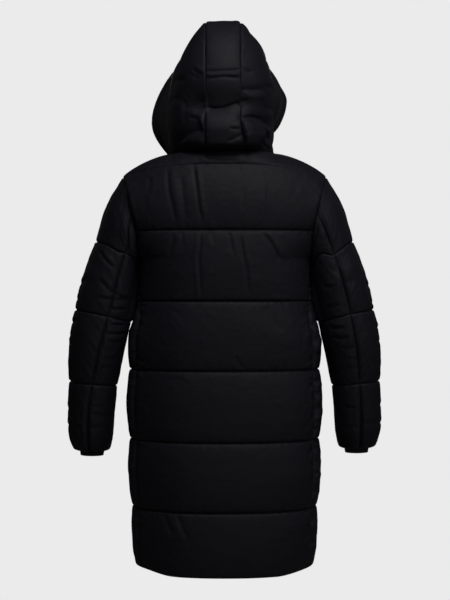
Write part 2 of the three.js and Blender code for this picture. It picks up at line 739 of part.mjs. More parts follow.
function sliderGeometry() {
  const plateBack = -seamGap;
  const plateMiddle = plateBack - slider.height / 2;
  const earMiddle = plateBack - slider.height - slider.earHeight / 2 + sliderLap;
  const earUp = slider.length / 2 - slider.earLength / 2;
  const earOut = tab.neckWidth / 2 + seamGap + slider.earWidth / 2;
  let solid = block(slider.width, slider.height, slider.length, 0, plateMiddle, 0);
  for (const side of [-1, 1]) {
    const earDepth = slider.earHeight + 2 * sliderLap;
    solid = solid.add(block(slider.earWidth, earDepth, slider.earLength, side * earOut, earMiddle, earUp));
  }
  const joined = solid.getMesh();
  const geometry = new THREE.BufferGeometry();
  geometry.setAttribute('position', new THREE.BufferAttribute(new Float32Array(joined.vertProperties), 3));
  geometry.setIndex([...joined.triVerts]);
  geometry.computeVertexNormals();
  return geometry;
}

// The tab hangs from its bar between the ears; its outline is drawn in the plane of the zip
function tabGeometry() {
  const outline = new THREE.Shape();
  const half = tab.width / 2;
  const neckHalf = tab.neckWidth / 2;
  const endAt = -tab.length + half;
  outline.moveTo(-neckHalf, tab.thickness / 2);
  outline.lineTo(-neckHalf, -tab.neckLength);
  outline.lineTo(-half, -tab.neckLength - tab.taper);
  outline.lineTo(-half, endAt);
  outline.absarc(0, endAt, half, Math.PI, 2 * Math.PI);
  outline.lineTo(half, -tab.neckLength - tab.taper);
  outline.lineTo(neckHalf, -tab.neckLength);
  outline.lineTo(neckHalf, tab.thickness / 2);
  outline.closePath();
  const hole = new THREE.Path();
  hole.absarc(0, endAt, tab.hole, 0, 2 * Math.PI, true);
  outline.holes.push(hole);
  const geometry = new THREE.ExtrudeGeometry(outline, {
    depth: tab.thickness,
    bevelEnabled: false,
    curveSegments: 8,
  });
  geometry.translate(0, 0, -tab.thickness / 2);
  return geometry.rotateX(Math.PI / 2);
}

const sliderMesh = new THREE.Mesh(sliderGeometry(), metal);
sliderMesh.name = 'zip_slider';
hardware.add(sliderMesh);
const tabMesh = new THREE.Mesh(tabGeometry(), metal.clone());
tabMesh.name = 'zip_pull_tab';
tabMesh.position.set(0, -seamGap - slider.height - tab.pivot, slider.length / 2 - slider.earLength / 2);
hardware.add(tabMesh);

export default coat;
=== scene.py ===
import math

import bmesh
import bpy
import numpy as np
from mathutils import Matrix, Vector


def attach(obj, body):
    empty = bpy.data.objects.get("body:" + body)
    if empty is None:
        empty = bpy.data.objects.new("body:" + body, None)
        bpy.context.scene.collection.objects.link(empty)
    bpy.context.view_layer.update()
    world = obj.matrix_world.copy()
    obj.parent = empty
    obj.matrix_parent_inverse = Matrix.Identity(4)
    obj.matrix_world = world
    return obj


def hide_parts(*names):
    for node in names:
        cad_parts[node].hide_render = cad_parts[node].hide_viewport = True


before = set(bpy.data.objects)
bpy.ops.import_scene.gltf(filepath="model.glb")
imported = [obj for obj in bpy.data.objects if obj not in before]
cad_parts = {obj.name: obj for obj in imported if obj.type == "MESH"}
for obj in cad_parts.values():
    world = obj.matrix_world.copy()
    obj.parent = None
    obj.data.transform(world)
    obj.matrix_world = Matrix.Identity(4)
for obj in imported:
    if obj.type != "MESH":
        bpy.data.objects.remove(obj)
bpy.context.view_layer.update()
scene = bpy.context.scene

# Tables and sizes are in millimetres and degrees, and the meshes are made in metres.
# The wearer's left is +X, the back faces +Y, and the origin is the middle of the neck opening.
mm = 0.001
sides = dict(left=1, right=-1)


def table(columns, *rows):
    return {name: np.array(values, float) for name, values in zip(columns.split(), zip(*rows))}


# the cut of the body, from hem to chest: how wide and deep the stitched lines are, and the side filling
bodyRings = table(
    "height halfWidth back front sidePuff",
    (-992, 210, 135, 139, 7),
    (-915, 214, 138, 142, 7),
    (-841, 219, 141, 144, 7),
    (-760, 223, 142, 145, 7),
    (-680, 225, 141, 145, 7),
    (-597, 227, 138, 144, 7),
    (-515, 226, 135, 142, 7),
    (-440, 223, 132, 141, 7),
    (-395, 214, 130, 140, 5),
    (-353, 208, 128, 139, 3),
    (-300, 202, 127, 138, 2),
    (-254, 203, 126, 136, 0),
    (-188, 203, 124, 132, 0),
)
body = dict(
    hem=-992, quiltLines=(-841, -680, -515, -353), chestLine=-188, yokeLine=-33,
    puff=12, corner=0.9, seamAngle=66, seamTurnFrom=-420, sideDepth=110, hemRise=9, leftRound=10,
)
neck = dict(halfWidth=118, halfDepth=78, frontDrop=75, part=0.4, corner=22.5)
torsoCore = dict(sideways=0.4, turnAt=-170)  # where the way out starts to turn upwards
patchBow = dict(back=4, yoke=8, front=16)
# where the hem rises and the left of the back is rounder: heights, and places left-right and front-back
bodyTrim = dict(
    hemRows=(930, 992), hemSides=(120, 205), roundSides=(90, 200), roundBack=(10, 90), roundRows=(190, 330),
)
armhole = dict(top=(244, -57), bottom=(203, -254), halfDepth=78, scoop=9, chestAngle=109.3)
shoulder = dict(yokeAngle=15, frontAngle=-8, slopePower=1.65)
yoke = dict(depth=100, arc=60, chestArc=65, dropPower=3, puff=5)
zipFront = dict(halfWidth=7, tapeIn=1.2, tapeThick=1.5, sewnIn=0.8, rows=480, columns=5)
tooth = dict(pitch=3.2, reach=4.2, height=1.35, depth=1.5, fromMiddle=0.9, sunk=0.25, firstAbove=6, lastBelow=2)

# the cut of the sleeves: outer and inner side of each section, its depth, and how it hangs
sleeveSections = table(
    "at outX outZ inX inZ depth centre bow puff",
    (0, 244, -57, 203, -254, 78, 0, -9, 0),
    (1, 277, -121, 206, -268, 77, -1, -10, 5),
    (2, 304, -200, 209, -281, 75, -4, -14, 5),
    (3, 331, -284, 216, -330, 75, -6, -8, 6),
    (4, 357, -374, 228, -404, 72, -9, -3, 6),
    (5, 369, -462, 246, -475, 68, -15, 0, 6),
    (6, 373, -545, 260, -556, 60, -25, 0, 6),
    (7, 372, -612, 269, -620, 56, -36, 0, 6.5),
    (8, 369, -672, 274, -677, 50, -45, 0, 8),
    (9, 358, -710, 281, -711, 40, -50, 0, 10),
)
sleeve = dict(
    quiltLines=(2, 4, 6), last=9, seamEnd=0.5, pullFrom=5, pull=dict(left=(3, 6), right=(2, -1)),
    backSeam=85.7, frontSeam=-84, lessTowardsBody=0.3, seamMoved=dict(left=22, right=0), closeTo=0.8,
    lineDrop=0.14, seamDrop=dict(left=0, right=0.15), lineRise=dict(left=0.5, right=0.9),
    seamMovedFrom=(0, 1.5), seamMovedTo=(3.5, 7.5), closeRows=(256, 268), closeEnd=(392, 416),
    closeDepth=(8, 30), closeGap=(12, 24), tiltRows=(0, 2, 4), tiltTurn=(0.45, 0.95),
)
cuff = dict(
    ribs=58, ribColumns=8, rows=14, ribDepth=0.7, wall=3, setIn=8.2, flare=3, flareRows=(-6, 12),
    top=12, bottom=-26, edgeFrom=0.88, edgeIn=1.2, edgeThin=1.6,
)

# the hood's centre line from brow to neck, and how far its side panels bow out of a flat one
hoodSpine = table(
    "y z",
    (-118, 272), (-70, 304), (-18, 318), (38, 306), (84, 265), (114, 204),
    (124, 148), (115, 98), (120, 68), (121, 36), (109, 10), (78, 0),
)
hoodBows = table(
    "at left right forward",
    (0, 122, 97, -48),
    (0.25, 65, 57, -20),
    (0.5, 49, 48, 0),
    (0.75, 40, 40, 27),
    (0.875, 26, 26, 40),
    (1, 0, 0, 50),
)
hood = dict(
    crown=0.408, stripHalfWidth=45.2, stripDrop=5.9, seamGap=0.3,
    swell=dict(left=(1, 0.7, 0.75), right=(1.75, 0.85, 0.8)),
    crownCorner=4.5, rightIn=10, leftOut=3, seamIn=6, lowBulge=10, tuckIn=1.6,
    rimWidth=56, rimEndWidth=20, rimTaper=0.12, rimPuff=22, rimEndPuff=0.25, rimStep=0.012,
)
hoodCore = dict(sideways=0.3, back=0.4, front=(0.3, 0.85), rows=(-20, 100), top=190)
# where the hood's outline is trimmed: heights, and places left-right (middle and reach) and front-back
hoodTrims = dict(
    crownRows=(262, 300), crownMiddle=3, crownAway=42, crownReach=15, sideRows=(150, 200), sideEnd=(285, 310),
    sideAway=(40, 75), footRows=(0, 8), footFade=17, footDepth=(50, 95), seamRows=(12, 50),
    seamDepth=(-90, -30), seamMiddle=45, seamReach=26,
)
wall = dict(stitched=4, bodyFill=8, sleeveFill=5, hoodFill=10, rimFill=6)


def xyz(x, y, z):
    return np.stack(np.broadcast_arrays(x, y, z), axis=-1).astype(float)


def mix(a, b, t):
    return a + (b - a) * t


def mirrored(point, hand):
    return point * (sides[hand], 1, 1)


def rounded(value, power):
    return np.sign(value) * np.abs(value) ** power


def smoothStep(value, low, high):
    t = np.clip((value - low) / (high - low), 0, 1)
    return t * t * (3 - 2 * t)


def lengthOf(vectors):
    return np.sqrt((vectors ** 2).sum(-1, keepdims=True))


def unit(vectors):
    return vectors / np.maximum(lengthOf(vectors), 1e-9)


def runningLength(points):
    return np.concatenate([[0], np.cumsum(lengthOf(np.diff(points, axis=0))[:, 0])])


def gridLengths(points):
    # distances over a grid of points, along its rows and along its columns
    across = np.concatenate([0 * points[:, :1, 0], np.cumsum(lengthOf(np.diff(points, axis=1))[..., 0], 1)], 1)
    along = np.concatenate([0 * points[:1, :, 0], np.cumsum(lengthOf(np.diff(points, axis=0))[..., 0], 0)], 0)
    return across, along


def onLine(at, arc, points):
    return xyz(*[np.interp(at, arc, points[:, k]) for k in range(3)])


def readTable(rows, key, at, column):
    # a smooth curve through one column, read at values of the key column
    keys, values = rows[key], rows[column]
    k = np.clip(np.searchsorted(keys, at) - 1, 0, len(keys) - 2)
    before, after = np.maximum(k - 1, 0), np.minimum(k + 2, len(keys) - 1)
    span = keys[k + 1] - keys[k]
    t = (at - keys[k]) / span
    leave = (values[k + 1] - values[before]) / (keys[k + 1] - keys[before]) * span
    arrive = (values[after] - values[k]) / (keys[after] - keys[k]) * span
    rise = values[k + 1] - values[k]
    return values[k] + t * (leave + t * (3 * rise - 2 * leave - arrive + t * (leave + arrive - 2 * rise)))


def channelFill(at, lines, power=0.6):
    # 0 on each stitched line and 1 in the middle between two of them
    lines = np.array(lines, float)
    k = np.clip(np.searchsorted(lines, at, side="right") - 1, 0, len(lines) - 2)
    part = np.clip((at - lines[k]) / (lines[k + 1] - lines[k]), 0, 1)
    return np.sin(np.pi * part) ** power


# shape of the body
def armholePoint(angle):
    # the seam round the armhole: 0 is the shoulder, 90 the back and 180 the underarm
    turn = np.radians(angle)
    middle = (1 + np.cos(turn)) / 2
    x = mix(armhole["bottom"][0], armhole["top"][0], middle) - armhole["scoop"] * np.sin(turn) ** 2
    return xyz(x, armhole["halfDepth"] * np.sin(turn), mix(armhole["bottom"][1], armhole["top"][1], middle))


def armholeAngle(height):
    part = (height - armhole["bottom"][1]) / (armhole["top"][1] - armhole["bottom"][1])
    return np.degrees(np.arccos(np.clip(2 * part - 1, -1, 1)))


def neckPoint(angle):
    turn = np.radians(angle)
    drop = neck["frontDrop"] * np.maximum(0, -np.cos(turn)) ** 1.5
    return xyz(neck["halfWidth"] * np.sin(turn), neck["halfDepth"] * np.cos(turn), -drop)


def ringPoint(height, angle):
    turn = np.radians(angle)
    depth = np.where(
        np.cos(turn) > 0,
        readTable(bodyRings, "height", height, "back"),
        readTable(bodyRings, "height", height, "front"),
    )
    x = readTable(bodyRings, "height", height, "halfWidth") * rounded(np.sin(turn), body["corner"])
    return xyz(x, depth * rounded(np.cos(turn), body["corner"]), height)


def seamAngle(height):
    return mix(body["seamAngle"], 90, smoothStep(height, body["seamTurnFrom"], armhole["bottom"][1]))


def archPoint(end, depth, height, arc, across):
    # a row above the underarm, from one armhole round the middle to the other
    turn = np.radians(arc)
    low = rounded(np.cos(turn), body["corner"])
    bulge = (rounded(np.cos(across * turn), body["corner"]) - low) / (1 - low)
    x = rounded(np.sin(across * turn) / np.sin(turn), body["corner"])
    return xyz(end[..., 0] * x, mix(end[..., 1], depth, bulge), height)


def archArc(angle):
    share = np.sin(np.radians(angle)) / np.sin(np.radians(armhole["chestAngle"]))
    return mix(90, yoke["chestArc"], share)


def lowerBack(across, height):
    away = np.abs(across)
    angle = armholeAngle(height)
    ring = ringPoint(height, away * seamAngle(height))
    arch = archPoint(
        armholePoint(angle), readTable(bodyRings, "height", height, "back"), height, archArc(angle), away)
    point = np.where((height <= armhole["bottom"][1])[..., None], ring, arch)
    point[..., 0] *= np.sign(across)
    return point


def lowerFront(across, height):
    size = readTable(bodyRings, "height", height, "halfWidth")
    first = 180 - np.degrees(np.arcsin((zipFront["halfWidth"] / size) ** (1 / body["corner"])))
    ring = ringPoint(height, mix(first, seamAngle(height), across))
    angle = armholeAngle(height)
    end = armholePoint(-angle)
    arch = archPoint(end, -readTable(bodyRings, "height", height, "front"), height, archArc(angle), across)
    arch[..., 0] = zipFront["halfWidth"] + arch[..., 0] * (1 - zipFront["halfWidth"] / end[..., 0])
    return np.where((height <= armhole["bottom"][1])[..., None], ring, arch)


def torsoOut(point):
    # sideways low down, and over the shoulders higher up
    return unit(xyz(
        torsoCore["sideways"] * point[..., 0], point[..., 1], np.maximum(0, point[..., 2] - torsoCore["turnAt"])))


def yokeLine(across):
    end = armholePoint(shoulder["yokeAngle"])
    point = archPoint(end, yoke["depth"], body["yokeLine"], yoke["arc"], across)
    away = np.abs(point[..., 0] / end[..., 0]) ** yoke["dropPower"]
    point[..., 2] = mix(body["yokeLine"], end[..., 2], away)
    return point


def shoulderLine(part):
    start, end = neckPoint(90), armholePoint(shoulder["frontAngle"])
    point = mix(start, end, part[..., None])
    point[..., 2] = mix(start[2], end[2], part ** shoulder["slopePower"])
    return point


def yokeTop(across):
    away = np.abs(across)
    point = np.where(
        (away > neck["part"])[..., None],
        shoulderLine(np.clip((away - neck["part"]) / (1 - neck["part"]), 0, 1)),
        neckPoint(90 * np.minimum(away / neck["part"], 1)),
    )
    point[..., 0] *= np.sign(across)
    return point


def frontTop(across):
    first = 180 - math.degrees(math.asin(zipFront["halfWidth"] / neck["halfWidth"]))
    return np.where(
        (across > neck["part"])[..., None],
        shoulderLine(np.clip((across - neck["part"]) / (1 - neck["part"]), 0, 1)),
        neckPoint(mix(first, 90, np.minimum(across / neck["part"], 1))),
    )


def patchPoint(lower, upper, end, across, part, bow):
    # cloth between a lower and an upper line, bowed out, with its ends held on the armhole
    side = np.where(across < 0, -1.0, 1.0)
    held = end.copy()
    held[..., 0] *= side
    pull = held - mix(lower(side), upper(side), part[..., None])
    point = mix(lower(across), upper(across), part[..., None]) + pull * (across ** 4)[..., None]
    lift = bow * np.sin(np.pi * part) * (1 - across ** 4)
    return point + torsoOut(point) * lift[..., None]


def upperAngle(part, last):
    return mix(armhole["chestAngle"], last, part)


def chestPart(height):
    return np.clip((height - body["chestLine"]) / (body["yokeLine"] - body["chestLine"]), 0, 1)


def backPoint(across, height):
    part = chestPart(height)
    chest = np.full_like(across, body["chestLine"])
    patch = patchPoint(
        lambda a: lowerBack(a, chest), yokeLine,
        armholePoint(upperAngle(part, shoulder["yokeAngle"])), across, part, patchBow["back"])
    return np.where((part > 0)[..., None], patch, lowerBack(across, np.minimum(height, body["chestLine"])))


def frontPoint(across, height):
    part = chestPart(height)
    chest = np.full_like(across, body["chestLine"])
    patch = patchPoint(
        lambda a: lowerFront(np.abs(a), chest), lambda a: frontTop(np.abs(a)),
        armholePoint(-upperAngle(part, -shoulder["frontAngle"])), across, part, patchBow["front"])
    return np.where((part > 0)[..., None], patch, lowerFront(across, np.minimum(height, body["chestLine"])))


def yokePoint(across, part):
    end = armholePoint(mix(shoulder["yokeAngle"], shoulder["frontAngle"], part))
    return patchPoint(yokeLine, yokeTop, end, across, part, patchBow["yoke"])


def bodyPuff(base, height):
    side = readTable(bodyRings, "height", np.minimum(height, body["chestLine"]), "sidePuff")
    side = np.where(height > body["chestLine"], body["puff"], side)
    return mix(side, body["puff"], np.minimum(1, np.abs(base[..., 1]) / body["sideDepth"]))


# shape of the sleeves
def sleeveFrame(hand, at, angle):
    value = {name: readTable(sleeveSections, "at", at, name) for name in sleeveSections}
    pulled = smoothStep(at, sleeve["pullFrom"], sleeve["last"])
    pullOut, pullDown = sleeve["pull"][hand]
    outX, outZ = value["outX"] + pullOut * pulled, value["outZ"] - pullDown * pulled
    inX, inZ = value["inX"] + pullOut * pulled, value["inZ"] - pullDown * pulled
    width = xyz(outX - inX, 0, outZ - inZ)
    wide = unit(width)
    down = xyz(wide[..., 2], 0, -wide[..., 0])
    turn = np.radians(angle)
    base = xyz((outX + inX) / 2, value["centre"] + value["depth"] * np.sin(turn), (outZ + inZ) / 2)
    base = base + width * (0.5 * np.cos(turn))[..., None]
    base = base + down * (value["bow"] * np.sin(turn) ** 2)[..., None]
    way = wide * (np.cos(turn) * value["depth"])[..., None]
    way[..., 1] = np.sin(turn) * lengthOf(width)[..., 0] / 2
    return base, unit(way), down


def sleevePoint(hand, at, angle):
    base, _, down = sleeveFrame(hand, at, angle)
    start = sleeveFrame(hand, np.zeros_like(at), angle)[0]
    seam = armholePoint(angle) + down * hood["seamGap"]
    point = base + (seam - start) * (1 - smoothStep(at, 0, sleeve["seamEnd"]))[..., None]
    return mirrored(point, hand)


def bodyward(angle):
    # 0 on the sleeve's outer side and 1 on the side towards the body
    return 0.5 - 0.5 * np.cos(np.radians(angle))


def sleevePuff(at, angle):
    return readTable(sleeveSections, "at", at, "puff") * (1 - sleeve["lessTowardsBody"] * bodyward(angle))


# shape of the hood
def makeSpine():
    chord = np.concatenate([[0], np.cumsum(np.hypot(np.diff(hoodSpine["y"]), np.diff(hoodSpine["z"])))])
    rows = dict(hoodSpine, chord=chord)
    along = np.linspace(0, chord[-1], 2000)
    y, z = readTable(rows, "chord", along, "y"), readTable(rows, "chord", along, "z")
    arc = np.concatenate([[0], np.cumsum(np.hypot(np.diff(y), np.diff(z)))])
    return dict(arc=arc / arc[-1], y=y, z=z + hood["seamGap"])


spine = makeSpine()


def hoodOut(point):
    raised = smoothStep(point[..., 2], *hoodCore["rows"])
    follow = np.where(point[..., 1] < 0, mix(*hoodCore["front"], raised), hoodCore["back"])
    core = xyz(hoodCore["sideways"] * point[..., 0], follow * point[..., 1],
               np.minimum(point[..., 2], hoodCore["top"]))
    return unit(point - core)


def stripPoint(along, across):
    point = xyz(0 * along, np.interp(along, spine["arc"], spine["y"]), np.interp(along, spine["arc"], spine["z"]))
    point = point - hoodOut(point) * (hood["stripDrop"] * across ** 2)[..., None]
    point[..., 0] = hood["stripHalfWidth"] * across
    return point


def hoodBow(hand, up):
    lift, neckPower, crownPower = hood["swell"][hand]
    return np.sin(np.pi * up ** lift) ** mix(neckPower, crownPower, up)


def hoodSidePoint(hand, along, up):
    swell = hoodBow(hand, np.clip(up, 1e-6, 1 - 1e-6))
    one = np.ones_like(along)
    low = neckPoint(mix(180 - neck["corner"], neck["corner"], along))
    low[..., 2] += hood["seamGap"]
    point = mix(low, stripPoint(hood["crown"] * along, one), up[..., None])
    bow = readTable(hoodBows, "at", along, hand) * swell
    forward = readTable(hoodBows, "at", along, "forward") * swell
    point = point + xyz(bow, forward, 0 * bow)
    low = neckPoint(neck["corner"] * one)
    low[..., 2] = hood["seamGap"]
    edge = mix(low, stripPoint(hood["crown"] * one, one), up[..., None])
    edge[..., 1] += hoodBows["forward"][-1] * swell
    hold = stripPoint(1 - (1 - hood["crown"]) * up, one) - edge
    point = point + hold * (along ** 3)[..., None]
    return mirrored(point, hand)


def makeOpening():
    # the edge of the face opening, from the left end at the neck over the brow to the right end
    up = np.linspace(0, 1, 200)
    left = hoodSidePoint("left", 0 * up, up)
    right = hoodSidePoint("right", 0 * up, up)[::-1]
    across = np.linspace(1, -1, 40)[1:-1]
    points = np.concatenate([left, stripPoint(0 * across, across), right])
    for _ in range(12):
        points[1:-1] = (points[:-2] + 2 * points[1:-1] + points[2:]) / 4
    arc = runningLength(points)
    return dict(arc=arc / arc[-1], points=points)


opening = makeOpening()


def rimPoint(part, along):
    # the padded rim goes forwards from the face opening
    arc, line, step = opening["arc"], opening["points"], hood["rimStep"]
    points = onLine(along, arc, line)
    tangent = unit(onLine(along + step, arc, line) - onLine(along - step, arc, line))
    forwards = unit(np.cross(hoodOut(points), tangent))
    grown = smoothStep(np.minimum(along, 1 - along), 0, hood["rimTaper"])
    width = mix(hood["rimEndWidth"], hood["rimWidth"], grown)
    return points + forwards * (hood["seamGap"] + width * part)[..., None]


def rimPuff(along):
    grown = smoothStep(np.minimum(along, 1 - along), 0, hood["rimTaper"])
    return hood["rimPuff"] * mix(hood["rimEndPuff"], 1, grown)


# how a panel's grid is laid out, and how its cloth is made
def easedLines(lines, cells):
    # from line to line, with the cells closer together beside each line
    rows = []
    for low, high, count in zip(lines[:-1], lines[1:], cells):
        t = np.arange(count) / count
        rows.append(mix(low, high, t - 0.55 * np.sin(2 * np.pi * t) / (2 * np.pi)))
    return np.append(np.concatenate(rows), lines[-1])


def refine(grid):
    # halves the cells of a grid of vectors, on a smooth curve through them
    for axis in (0, 1):
        grid = np.moveaxis(grid, axis, 0)
        padded = np.concatenate([2 * grid[:1] - grid[1:2], grid, 2 * grid[-1:] - grid[-2:-1]])
        middle = (9 * (padded[1:-2] + padded[2:-1]) - padded[:-3] - padded[3:]) / 16
        finer = np.empty((2 * len(grid) - 1,) + grid.shape[1:])
        finer[0::2], finer[1::2] = grid, middle
        grid = np.moveaxis(finer, 0, axis)
    return grid


def softNoise(shape, cell, seed):
    # smooth random values from -1 to 1 over a grid
    maker = np.random.default_rng(seed)
    rows, columns = (max(3, int(n / cell) + 3) for n in shape)
    coarse = maker.uniform(-1, 1, (rows, columns))
    y, x = np.linspace(0, rows - 2.001, shape[0]), np.linspace(0, columns - 2.001, shape[1])
    j, i = y.astype(int), x.astype(int)
    fy, fx = smoothStep(y - j, 0, 1)[:, None], smoothStep(x - i, 0, 1)[None]
    low = mix(coarse[j][:, i], coarse[j][:, i + 1], fx)
    high = mix(coarse[j + 1][:, i], coarse[j + 1][:, i + 1], fx)
    return mix(low, high, fy)


panels = []


def addPanel(node, place, us, vs, fill, puff, inside, **extra):
    # us and vs are the places of the grid's lines; fill is 0 where the cloth is stitched down
    panels.append(dict(node=node, place=place, us=us, vs=vs, fill=fill, puff=puff, inside=inside, **extra))


def midLines(values):
    finer = np.empty(2 * len(values) - 1)
    finer[0::2] = values
    finer[1::2] = (values[:-1] + values[1:]) / 2
    return finer


def gridOrder(coordinates, shape):
    # which point of the grid each vertex of a unit grid is
    i = np.rint((coordinates[:, 0] + 0.5) * (shape[1] - 1)).astype(int)
    j = np.rint((coordinates[:, 1] + 0.5) * (shape[0] - 1)).astype(int)
    return j * shape[1] + i


def addGrid(bm, points):
    # adds a sheet of four-cornered faces through a grid of points, and returns which point each vertex is
    first = len(bm.verts)
    rows, columns = points.shape[0] - 1, points.shape[1] - 1
    bmesh.ops.create_grid(bm, x_segments=columns, y_segments=rows, size=0.5)
    bm.verts.ensure_lookup_table()
    made = bm.verts[first:]
    order = gridOrder(np.array([vert.co[:] for vert in made]), points.shape)
    for vert, place in zip(made, points.reshape(-1, 3)[order] * mm):
        vert.co = place
    return order


def toMesh(bm, name):
    mesh = bpy.data.meshes.new(name)
    bm.to_mesh(mesh)
    bm.free()
    return mesh


def addObject(name, data):
    obj = bpy.data.objects.new(name, data)
    scene.collection.objects.link(obj)
    return obj


def smoothFaces(mesh):
    mesh.polygons.foreach_set("use_smooth", np.ones(len(mesh.polygons), bool))


# creases and folds, drawn as bent lines of (x, z) places in the back or front view
def bentLine(points):
    # the same line with its corners rounded
    points = np.array(points, float)
    for _ in range(2 if len(points) > 2 else 0):
        quarter = mix(points[:-1], points[1:], 0.25)
        threeQuarters = mix(points[:-1], points[1:], 0.75)
        cut = np.stack([quarter, threeQuarters], 1).reshape(-1, 2)[1:-1]
        points = np.concatenate([points[:1], cut, points[-1:]])
    return points


def nearLine(x, z, points):
    # signed distance from a bent line, positive on its right going along it, and the part of it passed
    steps = np.hypot(*np.diff(points, axis=0).T)
    best, passed = np.full(x.shape, 1e9), np.zeros(x.shape)
    side = np.zeros(x.shape)
    start = 0
    for (x0, z0), (x1, z1), length in zip(points[:-1], points[1:], steps):
        ax, az = (x1 - x0) / length, (z1 - z0) / length
        along = np.clip((x - x0) * ax + (z - z0) * az, 0, length)
        away = np.hypot(x - x0 - along * ax, z - z0 - along * az)
        closer = away < best
        best = np.where(closer, away, best)
        side = np.where(closer, np.sign((x - x0) * az - (z - z0) * ax), side)
        passed = np.where(closer, start + along, passed)
        start += length
    return best * side, passed / start


# how a crease's trough and ridge are shaped, in its own widths, and how marks fade at their ends and where
# the cloth turns away from their view
markForm = dict(troughPower=1.5, ridgeAt=2.1, ridgeWidth=1.5, endPart=0.2, turned=(0.05, 0.35), reach=15)


def crease(width, depth, ridge, *line):
    # a trough, with a ridge on its right if ridge is positive, or else on its left
    return dict(kind="crease", width=width, depth=depth, ridge=ridge, line=bentLine(line))


def fold(depth, reach, puff, rise, decay, *line):
    # cloth on the line's right sinks towards it, and on its left rises from it into a puff
    return dict(kind="fold", depth=depth, reach=reach, puff=puff, rise=rise, decay=decay, line=bentLine(line))


def markShift(mark, x, z):
    away, passed = nearLine(x, z, mark["line"])
    taper = smoothStep(passed, 0, markForm["endPart"]) * (1 - smoothStep(passed, 1 - markForm["endPart"], 1))
    if mark["kind"] == "crease":
        width, depth, ridge = mark["width"], mark["depth"], mark["ridge"]
        trough = -depth * np.exp(-np.abs(away / width) ** markForm["troughPower"])
        beyond = (away - markForm["ridgeAt"] * np.sign(ridge) * width) / (markForm["ridgeWidth"] * width)
        beside = abs(ridge) * depth * np.exp(-beyond ** 2)
        return (trough + beside) * taper
    above = -mark["depth"] * np.exp(-np.maximum(away, 0) / mark["reach"])
    risen = 1 - (1 - np.clip(-away / mark["rise"], 0, 1)) ** 2
    puff = mark["puff"] * np.exp(-np.maximum(-away - mark["rise"], 0) / mark["decay"])
    return np.where(away > 0, above, mix(-mark["depth"], puff, risen)) * taper


def marksShift(points, way, marks, across, out, facing):
    # how far the marks of one view move the cloth out at each point; across and out are axes of that view
    shift = np.zeros(points.shape[:-1])
    seen = smoothStep(facing * way[..., out], *markForm["turned"])
    if seen.max() == 0:
        return shift
    x, z = points[..., across], points[..., 2]
    for mark in marks:
        reach = 3 * max(mark.get("decay", 0), markForm["reach"])
        low, high = mark["line"].min(0) - reach, mark["line"].max(0) + reach
        near = (x > low[0]) & (x < high[0]) & (z > low[1]) & (z < high[1]) & (seen > 0)
        if near.any():
            shift[near] += markShift(mark, x[near], z[near]) * seen[near]
    return shift


